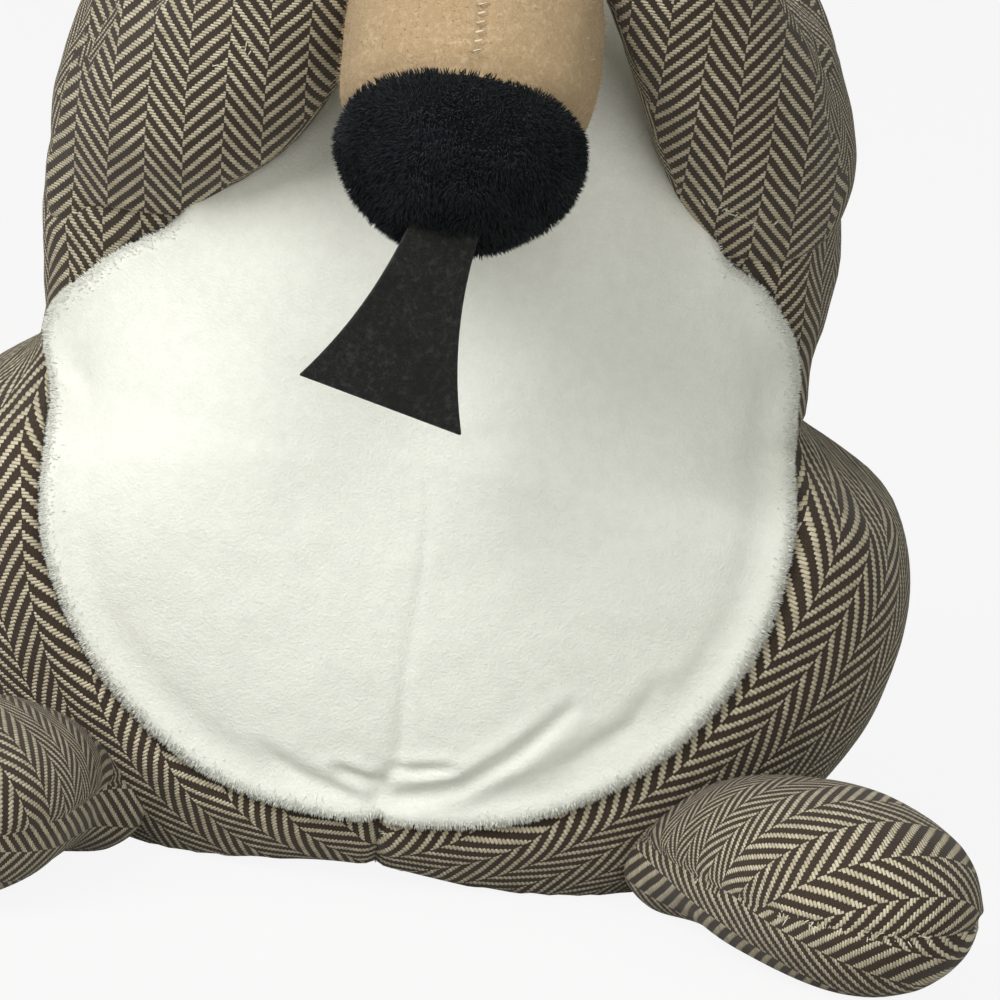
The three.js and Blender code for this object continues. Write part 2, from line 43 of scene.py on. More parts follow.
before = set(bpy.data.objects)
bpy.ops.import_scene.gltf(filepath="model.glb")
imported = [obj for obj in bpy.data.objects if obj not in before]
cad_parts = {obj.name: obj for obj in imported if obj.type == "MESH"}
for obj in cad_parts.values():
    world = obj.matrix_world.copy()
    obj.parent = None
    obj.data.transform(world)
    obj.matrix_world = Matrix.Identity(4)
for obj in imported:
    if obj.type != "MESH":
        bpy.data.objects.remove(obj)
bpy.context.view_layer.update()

MM = 0.001
SIDES = {"left": -1, "right": 1}

# Body, seen from the front as a ring of reaches round the middle of the tummy
TUMMY_HEIGHT = 79
TUMMY_RADIUS = 67
TUMMY_LOW_EDGE = 12
CHEST_EDGE = {
    -1: [(66.0, 78), (69.8, 90), (60.5, 103), (46, 118)],
    1: [(65.8, 86), (65.2, 98.5), (57.5, 111.5), (48, 120.5)],
}
CHIN_EDGE = 26
HIP_REACH = 98
HIP_TOP_REACH = 88
HIP_FOLD = 81
FOLD_LENGTH = 6
WAIST = {-1: 71.0, 1: 68.0}
CHEST = {-1: (68.5, 126), 1: (71.5, 115)}
SHOULDER = (44, 168)
NECK = (29, 180)
NECK_CROWN = 16
BASE_SPREAD = 97
BASE_SINK = 94
BELLY_REACH = 66
BACK_REACH = 56
SIDE_SEAM_TURN = 112
WIDEST_TUMMY = 0.985
BASE_HALF = (55.7, 39.7)
BASE_PANEL_HALF = (56, 40)
HEM_LIFT = 3.1
HEM_LIFT_MIDDLE = -5
HEM_LIFT_WIDTH = 21

# Cloth thicknesses
TWEED = 1.8
PLUSH = 2.6
FELT = 2.2

# Head
SKULL_CENTRE = (0, -4, 216)
SKULL = (46, 45, 46)
SNOUT_CENTRE = (0, -44, 208)
SNOUT = (25, 30, 20)
FACE_RADIUS = 31
EYE_SPREAD = 40
EYE_RISE = 14
NOSE_RISE = 12

# Acorn, whose own axis runs from the cap's pole to the nut's tip
ACORN_PLACE = (0.8, -100, 135)
ACORN_TILT = 35
NUT_RADIUS = 21.25
NUT_LENGTH = 62
CAP_RADIUS = 20.5
CAP_DOME = 13
CAP_LIP = 7
NUT_SEAM = 2.0
STALK_LENGTH = 31
STALK_TOP = 11
STALK_FLARE = 28
STALK_HANG = 8
STALK_TURN = 14

# Camera: where the photograph was taken from, in millimetres, degrees and pixels of a 1000-pixel frame
CAMERA_PLACE = (0, -955.6, 244.0)
CAMERA_FALL = 10
CAMERA_ROLL = 6.5
FOCAL_PIXELS = 5320
FRAME_PIXELS = 1000
AXIS_PIXEL = (425.5, 416.6)
SENSOR_WIDTH = 36


class TweedSettings(bpy.types.PropertyGroup):
    """The herringbone cloth."""

    warp_pitch: FloatProperty(
        name="Warp pitch", description="Distance between warp yarns", default=0.44 * MM,
        unit="LENGTH", precision=5
    )
    weft_pitch: FloatProperty(
        name="Weft pitch", description="Distance between weft yarns", default=0.52 * MM,
        unit="LENGTH", precision=5
    )
    float_ends: IntProperty(
        name="Float", description="Warp yarns that a weft yarn passes over, and then under", default=3
    )
    column_ends: IntProperty(
        name="Column", description="Warp yarns before the twill turns back", default=15
    )
    light_yarn: FloatVectorProperty(
        name="Light yarn", description="Cream weft yarn", subtype="COLOR", default=(0.80, 0.71, 0.53)
    )
    dark_yarn: FloatVectorProperty(
        name="Dark yarn", description="Brown warp yarn", subtype="COLOR", default=(0.034, 0.024, 0.017)
    )


class PlushSettings(bpy.types.PropertyGroup):
    """The plush and fur cloths."""

    cream: FloatVectorProperty(
        name="Cream plush", description="Tummy and face", subtype="COLOR", default=(0.86, 0.865, 0.80)
    )
    black: FloatVectorProperty(
        name="Black plush", description="Acorn cap", subtype="COLOR", default=(0.003, 0.004, 0.005)
    )
    fur: FloatVectorProperty(
        name="Tail fur", description="Dark grey-brown pile", subtype="COLOR", default=(0.075, 0.062, 0.052)
    )
    cap_pile: FloatProperty(
        name="Cap pile", description="Length of the cap's pile", default=1.7 * MM, unit="LENGTH", precision=5
    )
    tail_pile: FloatProperty(
        name="Tail pile", description="Length of the tail's fur", default=9 * MM, unit="LENGTH", precision=5
    )
    simulate: BoolProperty(
        name="Simulate stuffing", description="Blow the cloth out as its filling does", default=True
    )


class FeltSettings(bpy.types.PropertyGroup):
    """The felt cloths and the hard beads."""

    tan: FloatVectorProperty(
        name="Tan felt", description="Nut of the acorn", subtype="COLOR", default=(0.55, 0.40, 0.235)
    )
    charcoal: FloatVectorProperty(
        name="Charcoal felt", description="Stalk of the acorn", subtype="COLOR", default=(0.022, 0.022, 0.021)
    )
    bead: FloatVectorProperty(
        name="Bead", description="Eyes and nose", subtype="COLOR", default=(0.006, 0.005, 0.005)
    )


# Curves and body surface


def through(pairs):
    """A smooth curve through (place, value) pairs, flat at its ends, for arrays of places."""
    places, values = np.array(pairs, float).T
    slopes = np.zeros(len(places))
    slopes[1:-1] = (values[2:] - values[:-2]) / (places[2:] - places[:-2])

    def curve(place):
        place = np.clip(place, places[0], places[-1])
        i = np.clip(np.searchsorted(places, place) - 1, 0, len(places) - 2)
        step = places[i + 1] - places[i]
        t = (place - places[i]) / step
        rise = step * (slopes[i] * t * (1 - t) ** 2 - slopes[i + 1] * t * t * (1 - t))
        return values[i] + (values[i + 1] - values[i]) * t * t * (3 - 2 * t) + rise

    return curve


def polar(x, z):
    """The angle and reach of a point of the front view, round the middle of the tummy."""
    return math.degrees(math.atan2(z - TUMMY_HEIGHT, x)), math.hypot(x, z - TUMMY_HEIGHT)


outlines = {side: through([
    (-90, BASE_SINK),
    (-52, BASE_SPREAD),
    (-28, HIP_REACH),
    (-7, HIP_TOP_REACH),
    polar(WAIST[side] + 1, HIP_FOLD),
    polar(WAIST[side], HIP_FOLD + FOLD_LENGTH),
    polar(WAIST[side] + 0.3, (HIP_FOLD + CHEST[side][1]) / 2),
    polar(*CHEST[side]),
    polar(*SHOULDER),
    polar(*NECK),
    (90, NECK[1] + NECK_CROWN - TUMMY_HEIGHT),
]) for side in (-1, 1)}
tummy_edges = {side: through([
    (-90, TUMMY_HEIGHT - TUMMY_LOW_EDGE),
    (-60, TUMMY_RADIUS + 2),
    (-20, TUMMY_RADIUS + 1),
    *[polar(x, z) for x, z in CHEST_EDGE[side]],
    polar(CHIN_EDGE, NECK[1]),
    (90, NECK[1] - TUMMY_HEIGHT),
]) for side in (-1, 1)}
fullness = through([(-90, 2.9), (-40, 3), (-10, 3), (30, 2)])


def smooth_step(value, low, high):
    """0 below low, 1 above high and smooth between."""
    t = np.clip((value - low) / (high - low), 0, 1)
    return t * t * (3 - 2 * t)


def bell(distance, width):
    """1 at no distance, and soon 0 beyond the width."""
    return np.exp(-(distance / width) ** 2)


def farthest(holds, limit, shape, halvings):
    """The greatest value up to the limit at which the test still holds, for an array of this shape."""
    near, far = np.zeros(shape), np.full(shape, float(limit))
    for _ in range(halvings):
        middle = (near + far) / 2
        held = holds(middle)
        near, far = np.where(held, middle, near), np.where(held, far, middle)
    return near


def rotated(a, b, degrees):
    """Two coordinates, or two axes, turned in their own plane."""
    turn = math.radians(degrees)
    return a * math.cos(turn) + b * math.sin(turn), b * math.cos(turn) - a * math.sin(turn)


def turn_at_edge(angle, side):
    """How far round the body the tummy's seam lies: 0 is the tummy's middle and 90 the silhouette."""
    share = np.minimum(tummy_edges[side](angle) / outlines[side](angle), WIDEST_TUMMY)
    return np.degrees(np.arcsin(share ** (fullness(angle) / 2)))


def body_points(angle, turn, side):
    """Points of the body's skin, from arrays of angles and turns in degrees."""
    power = 2 / fullness(angle)
    a, t = np.radians(angle), np.radians(turn)
    reach = outlines[side](angle) * np.clip(np.sin(t), 0, 1) ** power
    depth = np.where(turn < 90, -BELLY_REACH, BACK_REACH) * np.abs(np.cos(t)) ** power
    x = reach * np.cos(a)
    z = np.clip(TUMMY_HEIGHT + reach * np.sin(a), 0, NECK[1] - 0.15)
    on_base = smooth_step(np.hypot(x / BASE_HALF[0], depth / BASE_HALF[1]), 1.03, 0.99)
    z = np.maximum(z, 0.9 * TWEED * on_base * (z < TWEED))
    return np.stack([side * x, depth, z + base_lift(side * x, depth, z)], -1)


def base_lift(x, y, z):
    """How far the centre-front seam draws the base up off the floor."""
    across = bell(x - HEM_LIFT_MIDDLE, HEM_LIFT_WIDTH)
    return HEM_LIFT * across * smooth_step(-y, 8, 40) * np.clip(1 - z / 15, 0, 1)


def arc_lengths(points):
    """The length along each row of a grid of points, from the row's start."""
    steps = np.linalg.norm(np.diff(points, axis=1), axis=2)
    return np.concatenate([np.zeros((len(points), 1)), np.cumsum(steps, axis=1)], axis=1)


def lumps(points, size, seed):
    """Soft noise from -1 to 1 at each point."""
    shift = Vector((seed * 7.3, seed * 3.1, seed * 5.7))
    return np.array([noise.noise(Vector(p) / size + shift) for p in points])


# Meshes


def new_piece(name, mesh):
    piece = bpy.data.objects.new(name, mesh)
    bpy.context.scene.collection.objects.link(piece)
    return piece


def grid_piece(name, points, cloth=None):
    """A piece from a grid of points in millimetres, with cloth coordinates in metres as its UV map."""
    rows, columns = points.shape[:2]
    index = np.arange(rows * columns).reshape(rows, columns)
    corners = [index[:-1, :-1], index[:-1, 1:], index[1:, 1:], index[1:, :-1]]
    quads = np.stack(corners, -1).reshape(-1, 4)
    mesh = bpy.data.meshes.new(name)
    mesh.from_pydata((points.reshape(-1, 3) * MM).tolist(), [], quads.tolist())
    if cloth is not None:
        layer = mesh.uv_layers.new(name="cloth")
        layer.data.foreach_set("uv", (cloth.reshape(-1, 2)[quads.ravel()] * MM).ravel())
    return new_piece(name, mesh)


def tidy_mesh(piece, inside):
    """Welds doubles and turns every face away from a point inside the piece."""
    edit = bmesh.new()
    edit.from_mesh(piece.data)
    bmesh.ops.remove_doubles(edit, verts=edit.verts, dist=0.01 * MM)
    bmesh.ops.dissolve_degenerate(edit, edges=edit.edges, dist=0.005 * MM)
    bmesh.ops.recalc_face_normals(edit, faces=edit.faces)
    centre = Vector(inside) * MM
    facing = sum(
        f.calc_area() * f.normal.dot((f.calc_center_median() - centre).normalized()) for f in edit.faces)
    if facing < 0:
        bmesh.ops.reverse_faces(edit, faces=edit.faces)
    edit.to_mesh(piece.data)
    edit.free()
    piece.data.shade_smooth()


def only(piece):
    """Leaves this piece alone selected and active."""
    for other in bpy.context.selected_objects:
        other.select_set(False)
    piece.select_set(True)
    bpy.context.view_layer.objects.active = piece


def apply_modifier(piece, kind, **values):
    modifier = piece.modifiers.new(kind.lower(), kind)
    for key, value in values.items():
        setattr(modifier, key, value)
    only(piece)
    bpy.ops.object.modifier_apply(modifier=modifier.name)


def subdivide(piece, levels=1):
    apply_modifier(piece, "SUBSURF", levels=levels, render_levels=levels)


def thicken(piece, thickness):
    apply_modifier(piece, "SOLIDIFY", thickness=thickness * MM, offset=-1, use_even_offset=False)


def places_of(piece):
    """The piece's vertices in millimetres."""
    flat = np.zeros(len(piece.data.vertices) * 3)
    piece.data.vertices.foreach_get("co", flat)
    return flat.reshape(-1, 3) / MM


def normals_of(piece):
    flat = np.zeros(len(piece.data.vertices) * 3)
    piece.data.vertex_normals.foreach_get("vector", flat)
    return flat.reshape(-1, 3)


def set_places(piece, points):
    piece.data.vertices.foreach_set("co", (points * MM).astype(np.float32).ravel())
    piece.data.update()


def set_cloth(piece, coordinates, second=None, use_second=None):
    """Sets the cloth coordinates in millimetres: a pair for each vertex, and a second pair on some faces."""
    mesh = piece.data
    layer = mesh.uv_layers.get("cloth") or mesh.uv_layers.new(name="cloth")
    corner_of = np.zeros(len(mesh.loops), int)
    mesh.loops.foreach_get("vertex_index", corner_of)
    values = coordinates[corner_of]
    if second is not None:
        sizes = np.zeros(len(mesh.polygons), int)
        mesh.polygons.foreach_get("loop_total", sizes)
        face_of = np.repeat(np.arange(len(sizes)), sizes)
        share = np.bincount(face_of, use_second[corner_of]) / sizes
        values = np.where((share > 0.5)[face_of][:, None], second[corner_of], values)
    layer.data.foreach_set("uv", (values * MM).ravel())


def press(piece, depth_at):
    """Moves each vertex along its normal by what depth_at gives for the places, in millimetres."""
    points = places_of(piece)
    set_places(piece, points + normals_of(piece) * depth_at(points)[:, None])


def distance_to_path(points, path):
    """The least distance of each point to a line through the path's points, seen from the front."""
    flat = points[:, [0, 2]]
    best = np.full(len(flat), 1e9)
    along = np.zeros(len(flat))
    path = np.array(path, float)
    for k, (a, b) in enumerate(zip(path[:-1], path[1:])):
        t = np.clip((flat - a) @ (b - a) / ((b - a) @ (b - a)), 0, 1)
        d = np.linalg.norm(flat - a - t[:, None] * (b - a), axis=1)
        along = np.where(d < best, (k + t) / (len(path) - 1), along)
        best = np.minimum(best, d)
    return best, along


SIMULATION_FRAMES = 20


def fill_with_stuffing(piece, pressure, limit):
    """Lets pressure blow the cloth out, and keeps each point within the limit of where it was sewn."""
    if not bpy.context.scene.squirrel_plush.simulate:
        return
    before = places_of(piece)
    modifier = piece.modifiers.new("filling", "CLOTH")
    cloth = modifier.settings
    cloth.quality = 5
    cloth.mass = 0.3
    cloth.tension_stiffness = cloth.compression_stiffness = 15
    cloth.bending_stiffness = 0.5
    cloth.use_pressure = True
    cloth.uniform_pressure_force = pressure
    cloth.effector_weights.gravity = 0
    modifier.collision_settings.use_collision = False
    for step in range(1, SIMULATION_FRAMES + 1):
        bpy.context.scene.frame_set(step)
    only(piece)
    bpy.ops.object.modifier_apply(modifier=modifier.name)
    bpy.context.scene.frame_set(1)
    moved = places_of(piece) - before
    length = np.linalg.norm(moved, axis=1, keepdims=True)
    set_places(piece, before + moved * np.minimum(1, limit / np.maximum(length, 1e-9)))


def stuffed(name, balls, voxel, smoothing, flatten=1.0):
    """A smooth stuffed form round balls (x, y, z, radius), standing on the floor where it reaches it."""
    edit = bmesh.new()
    for x, y, z, radius in balls:
        place = Matrix.Translation(Vector((x, y, z)) * MM) @ Matrix.Diagonal((1, 1, flatten, 1))
        bmesh.ops.create_icosphere(edit, subdivisions=3, radius=radius * MM, matrix=place)
    mesh = bpy.data.meshes.new(name)
    edit.to_mesh(mesh)
    edit.free()
    piece = new_piece(name, mesh)
    apply_modifier(piece, "REMESH", mode="VOXEL", voxel_size=voxel * MM)
    apply_modifier(piece, "SMOOTH", factor=0.5, iterations=smoothing)
    stand(piece)
    piece.data.shade_smooth()
    return piece


def stand(piece, floor=0.0):
    """Flattens the piece where it would reach below this height."""
    points = places_of(piece)
    points[:, 2] = np.maximum(points[:, 2], floor)
    set_places(piece, points)


def balls_along(keys, spacing=2.5):
    """Balls close together along a smooth path through keys (x, y, z, radius)."""
    keys = np.array(keys, float)
    lengths = np.linalg.norm(np.diff(keys[:, :3], axis=0), axis=1)
    places = np.concatenate([[0], np.cumsum(lengths)])
    curves = [through(list(zip(places, keys[:, k]))) for k in range(4)]
    stations = np.linspace(0, places[-1], int(places[-1] / spacing) + 2)
    return np.stack([curve(stations) for curve in curves], -1).tolist()


def pile(name, roots, directions, lengths, width, sag, seed, shades=None):
    """Fibres of a pile: each one a thin closed three-sided spike that bends, in millimetres."""
    random = np.random.default_rng(seed)
    count = len(roots)
    directions = directions / np.linalg.norm(directions, axis=1, keepdims=True)
    aside = np.cross(directions, random.normal(size=(count, 3)))
    aside /= np.linalg.norm(aside, axis=1, keepdims=True)
    other = np.cross(directions, aside)
    lengths = lengths[:, None]
    middle = roots + directions * lengths * 0.55 + sag * lengths * 0.3
    tip = roots + directions * lengths * 0.95 + sag * lengths
    vertices = np.zeros((count, 7, 3))
    for k in range(3):
        turn = k * 2 * math.pi / 3
        out = aside * math.cos(turn) + other * math.sin(turn)
        vertices[:, k] = roots - directions * 0.3 + out * width / 2
        vertices[:, 3 + k] = middle + out * width * 0.4
    vertices[:, 6] = tip
    shape = [(0, 2, 1)]
    for k in range(3):
        after = (k + 1) % 3
        shape += [(k, after, 3 + after), (k, 3 + after, 3 + k), (3 + k, 3 + after, 6)]
    faces = (np.arange(count)[:, None, None] * 7 + np.array(shape)).reshape(-1, 3)
    mesh = bpy.data.meshes.new(name)
    mesh.from_pydata((vertices.reshape(-1, 3) * MM).tolist(), [], faces.tolist())
    shades = random.random(count) if shades is None else shades
    layer = mesh.attributes.new("shade", "FLOAT", "POINT")
    layer.data.foreach_set("value", np.repeat(shades, 7).astype(np.float32))
    mesh.shade_smooth()
    return new_piece(name, mesh)


def scatter(piece, count, seed, keep=None):
    """Places and normals spread evenly over the piece's faces, for the fibres of a pile."""
    random = np.random.default_rng(seed)
    mesh = piece.data
    mesh.calc_loop_triangles()
    corners = np.zeros(len(mesh.loop_triangles) * 3, int)
    mesh.loop_triangles.foreach_get("vertices", corners)
    corners = corners.reshape(-1, 3)
    points, normals = places_of(piece), normals_of(piece)
    a, b, c = (points[corners[:, k]] for k in range(3))
    area = np.linalg.norm(np.cross(b - a, c - a), axis=1)
    if keep is not None:
        area = area * keep((a + b + c) / 3)
    chosen = random.choice(len(area), size=count, p=area / area.sum())
    u, v = random.random(count), random.random(count)
    u, v = np.where(u + v > 1, 1 - u, u), np.where(u + v > 1, 1 - v, v)
    w = np.stack([1 - u - v, u, v], -1)[:, :, None]
    place = (points[corners[chosen]] * w).sum(1)
    normal = (normals[corners[chosen]] * w).sum(1)
    return place, normal / np.linalg.norm(normal, axis=1, keepdims=True)


# Materials


class Nodes:
    """A short way to wire a node material."""

    def __init__(self, name):
        self.material = bpy.data.materials.new(name)
        self.material.use_nodes = True
        self.tree = self.material.node_tree
        self.shader = self.tree.nodes["Principled BSDF"]

    def set(self, name, value):
        socket = self.shader.inputs[name]
        if hasattr(value, "is_output"):
            self.tree.links.new(value, socket)
        elif socket.type == "RGBA" and len(value) == 3:
            socket.default_value = (*value, 1)
        else:
            socket.default_value = value

    def soften(self, roughness, sheen, gloss):
        """The dullness and sheen of cloth."""
        self.set("Roughness", roughness)
        self.set("Sheen Weight", sheen)
        self.set("Specular IOR Level", gloss)

    def add(self, kind, output=0, inputs=None, **values):
        node = self.tree.nodes.new(kind)
        for key, value in values.items():
            setattr(node, key, value)
        for key, value in (inputs or {}).items():
            if hasattr(value, "is_output"):
                self.tree.links.new(value, node.inputs[key])
            else:
                node.inputs[key].default_value = value
        return node.outputs[output]

    def math(self, operation, a, b=0.0, c=0.0):
        return self.add("ShaderNodeMath", operation=operation, inputs={0: a, 1: b, 2: c})

    def mix(self, share, a, b):
        colours = {6: a, 7: b}
        colours = {k: (*v, 1) if isinstance(v, tuple) and len(v) == 3 else v for k, v in colours.items()}
        return self.add("ShaderNodeMix", output=2, data_type="RGBA", inputs={0: share, **colours})

    def noise(self, where, size, detail=2.0, roughness=0.5):
        """Noise whose lumps have this size in millimetres."""
        inputs = {"Vector": where, "Scale": 1 / (size * MM), "Detail": detail, "Roughness": roughness}
        return self.add("ShaderNodeTexNoise", inputs=inputs)

    def place(self):
        return self.add("ShaderNodeTexCoord", output=3)

    def range(self, value, low, high, new_low=0.0, new_high=1.0):
        inputs = {0: value, 1: low, 2: high, 3: new_low, 4: new_high}
        return self.add("ShaderNodeMapRange", interpolation_type="SMOOTHSTEP", inputs=inputs)

    def bump(self, height, distance, strength=1.0):
        inputs = {"Height": height, "Distance": distance * MM, "Strength": strength}
        return self.add("ShaderNodeBump", inputs=inputs)


def colour(values):
    return tuple(values)[:3]


def tweed_cloth():
    """Herringbone: cream weft floats over brown warp, in a twill that turns back with every column."""
    tweed = bpy.context.scene.squirrel_tweed
    over, ends = float(tweed.float_ends), float(tweed.column_ends)
    n = Nodes("tweed_cloth")
    cloth = n.add("ShaderNodeUVMap", uv_map="cloth")
    sway, wobble, fuzz = n.noise(cloth, 9, 1), n.noise(cloth, 1.7, 1), n.noise(cloth, 0.2, 2, 0.8)
    parts = [n.add("ShaderNodeSeparateXYZ", output=k, inputs={0: cloth}) for k in (0, 1)]
    across = n.math("MULTIPLY_ADD", parts[0], 1 / tweed.warp_pitch, n.math("MULTIPLY", sway, 1.6))
    across = n.math("MULTIPLY_ADD", fuzz, 0.5, across)
    along = n.math("MULTIPLY_ADD", parts[1], 1 / tweed.weft_pitch, n.math("MULTIPLY", wobble, 0.5))
    column = n.math("FLOOR", n.math("DIVIDE", across, ends))
    way = n.math("MULTIPLY_ADD", n.math("FLOORED_MODULO", column, 2.0), -2.0, 1.0)
    pick = n.math("FLOOR", along)
    within = n.math("MULTIPLY_ADD", column, -ends, across)
    stepped = n.math("DIVIDE", n.math("MULTIPLY_ADD", within, way, pick), 2 * over)
    share = n.math("MULTIPLY", n.math("FRACT", stepped), 2.0)
    from_middle = n.math("ABSOLUTE", n.math("MULTIPLY_ADD", share, 2.0, -1.0))
    length = n.math("SUBTRACT", 1.0, n.math("POWER", from_middle, 5.0))
    slanted = n.math("MULTIPLY_ADD", n.math("SUBTRACT", share, 0.5), 0.22, n.math("FRACT", along))
    off_axis = n.math("ABSOLUTE", n.math("MULTIPLY_ADD", slanted, 2.0, -1.0))
    girth = n.math("SUBTRACT", 1.0, n.math("POWER", off_axis, 2.2))
    form = n.math("MULTIPLY", n.math("MAXIMUM", length, 0.0), n.math("MAXIMUM", girth, 0.0))
    light = n.range(n.math("MULTIPLY_ADD", fuzz, 0.5, form), 0.36, 0.72)
    cell = n.add("ShaderNodeCombineXYZ", inputs={
        0: n.math("FLOOR", stepped), 1: pick, 2: column})
    chance = n.add("ShaderNodeTexWhiteNoise", output=0, noise_dimensions="3D", inputs={"Vector": cell})
    blotch = n.noise(cloth, 14, 2)
    light_colour = n.mix(n.range(chance, 0.0, 1.0, 0.0, 0.55), colour(tweed.light_yarn), (0.47, 0.39, 0.25))
    dark_colour = n.mix(n.range(fuzz, 0.35, 0.75), colour(tweed.dark_yarn), (0.085, 0.062, 0.045))
    shade = n.mix(n.range(fuzz, 0.3, 0.6), (0.72, 0.72, 0.72), (1.0, 1.0, 1.0))
    shaded = n.add("ShaderNodeMix", output=2, data_type="RGBA", blend_type="MULTIPLY",
                   inputs={0: 1.0, 6: light_colour, 7: shade})
    yarns = n.mix(light, dark_colour, shaded)
    n.set("Base Color", n.mix(n.range(blotch, 0.35, 0.75, 0.0, 0.14), yarns, (0.02, 0.015, 0.01)))
    n.soften(0.93, 0.1, 0.15)
    n.set("Normal", n.bump(n.math("MULTIPLY_ADD", fuzz, 0.5, form), 0.32, 0.9))
    return n.material


def pile_cloth(name, base, tip, sheen, pile_size, relief, shade_share=0.0):
    """Short plush: a napped surface with soft clumps, or the fibres of a pile with their own shades."""
    n = Nodes(name)
    where = n.place()
    clumps = n.noise(where, pile_size * 5, 3, 0.6)
    naps = n.noise(where, pile_size, 3, 0.7)
    tone = n.math("MULTIPLY_ADD", clumps, 0.5, n.math("MULTIPLY", naps, 0.5))
    if shade_share:
        shade = n.add("ShaderNodeAttribute", output=2, attribute_name="shade")
        tone = n.math("MULTIPLY_ADD", shade, shade_share, n.math("MULTIPLY", tone, 1 - shade_share))
    n.set("Base Color", n.mix(n.range(tone, 0.32, 0.68), base, tip))
    n.soften(0.95, sheen, 0.15)
    n.set("Sheen Roughness", 0.45)
    n.set("Normal", n.bump(n.math("MULTIPLY_ADD", clumps, 0.8, naps), relief, 0.7))
    return n.material


def felt_cloth(name, base, fleck, dark, relief):
    """Pressed wool: matted fibres with lighter and darker flecks."""
    n = Nodes(name)
    where = n.place()
    fibres = n.noise(where, 0.32, 4, 0.8)
    mottle = n.noise(where, 1.1, 4, 0.75)
    cloudy = n.noise(where, 6, 3, 0.6)
    light = n.mix(n.range(fibres, 0.40, 0.66), dark, base)
    spots = n.mix(n.range(mottle, 0.46, 0.68, 0.0, 0.6), light, fleck)
    n.set("Base Color", n.mix(n.range(cloudy, 0.42, 0.68, 0.0, 0.55), spots, dark))
    n.soften(0.95, 0.1, 0.12)
    n.set("Normal", n.bump(n.math("MULTIPLY_ADD", mottle, 0.8, fibres), relief, 0.9))
    return n.material


def bead_finish():
    """Polished black bead with faint scratches."""
    n = Nodes("polished_bead")
    haze = n.noise(n.place(), 1.2, 3)
    n.set("Base Color", n.mix(n.range(haze, 0.3, 0.8, 0.0, 0.4), colour(bpy.context.scene.squirrel_felt.bead),
                              (0.02, 0.014, 0.010)))
    n.set("Roughness", n.range(haze, 0.3, 0.8, 0.08, 0.18))
    n.set("Coat Weight", 0.6)
    return n.material


def plain_finish(name, base, other, size, rough):
    """A quiet mottled finish for what lies inside the squirrel."""
    n = Nodes(name)
    grain = n.noise(n.place(), size, 4, 0.6)
    n.set("Base Color", n.mix(grain, base, other))
    n.set("Roughness", rough)
    n.set("Normal", n.bump(grain, 0.3, 0.6))
    return n.material


_finishes = {}


def finish(name):
    """The named finish, made once."""
    if name in _finishes:
        return _finishes[name]
    plush, felt = bpy.context.scene.squirrel_plush, bpy.context.scene.squirrel_felt
    makers = {
        "tweed": tweed_cloth,
        "cream": lambda: pile_cloth(
            "cream_plush", tuple(c * 0.93 for c in plush.cream), colour(plush.cream), 0.25, 0.5, 0.35),
        "cream_pile": lambda: pile_cloth(
            "cream_pile", tuple(c * 0.95 for c in plush.cream), colour(plush.cream), 0.3, 0.5, 0.1, 0.6),
        "black": lambda: pile_cloth(
            "black_plush", colour(plush.black), (0.006, 0.008, 0.010), 0.05, 0.5, 0.4),
        "black_pile": lambda: pile_cloth(
            "black_pile", colour(plush.black), (0.014, 0.020, 0.024), 0.08, 3.5, 0.1, 0.35),
        "fur": lambda: pile_cloth("tail_fur", colour(plush.fur), (0.14, 0.12, 0.10), 0.2, 1.2, 0.8),
        "fur_pile": lambda: pile_cloth(
            "tail_pile", colour(plush.fur), (0.20, 0.175, 0.15), 0.2, 1.2, 0.1, 0.7),
        "tan": lambda: felt_cloth("tan_felt", colour(felt.tan), (0.70, 0.55, 0.36), (0.46, 0.32, 0.18), 0.3),
        "tan_pile": lambda: pile_cloth(
            "tan_pile", (0.50, 0.36, 0.21), (0.66, 0.51, 0.33), 0.1, 0.6, 0.1, 0.7),
        "charcoal": lambda: felt_cloth(
            "charcoal_felt", colour(felt.charcoal), (0.050, 0.050, 0.047), (0.009, 0.009, 0.009), 0.35),
        "thread": lambda: pile_cloth(
            "loose_thread", (0.60, 0.54, 0.40), (0.80, 0.75, 0.60), 0.1, 0.3, 0.05, 0.6),
        "seam_thread": lambda: pile_cloth(
            "seam_thread", (0.68, 0.56, 0.40), (0.85, 0.74, 0.58), 0.1, 0.3, 0.05),
        "bead": bead_finish,
        "stuffing": lambda: plain_finish("loose_filling", (0.62, 0.60, 0.55), (0.80, 0.78, 0.74), 3, 0.95),
        "sand": lambda: plain_finish("sand_bag", (0.42, 0.35, 0.23), (0.55, 0.47, 0.33), 0.6, 0.95),
        "washer": lambda: plain_finish("washer_plastic", (0.62, 0.62, 0.58), (0.70, 0.70, 0.66), 4, 0.5),
    }
    _finishes[name] = makers[name]()
    return _finishes[name]


def paint(piece, finish_name):
    """Gives the piece this finish in place of any other."""
    piece.data.materials.clear()
    piece.data.materials.append(finish(finish_name))


def dress(piece, finish_name, nodes=()):
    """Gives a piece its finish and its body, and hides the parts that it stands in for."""
    paint(piece, finish_name)
    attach(piece, "root")
    if nodes:
        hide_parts(*nodes)
    return piece


# Tummy and body sides

BODY_ROWS = 132
TUMMY_RINGS = 64
FRONT_STEPS = 30
BACK_STEPS = 34
SEAM_DEPTH = 1.7
HIP_LEAN = 0.0067
HIP_CLOTH_MIDDLE = {-1: (-64, 2), 1: (-70, 41)}
HIP_CLOTH_RADIUS = 116
HIP_FORESHORTENING = 0.8
CHEST_FLAT_SHARE = 0.3
CREASE_DEPTH = 1.3
CHEST_ANGLE = 4

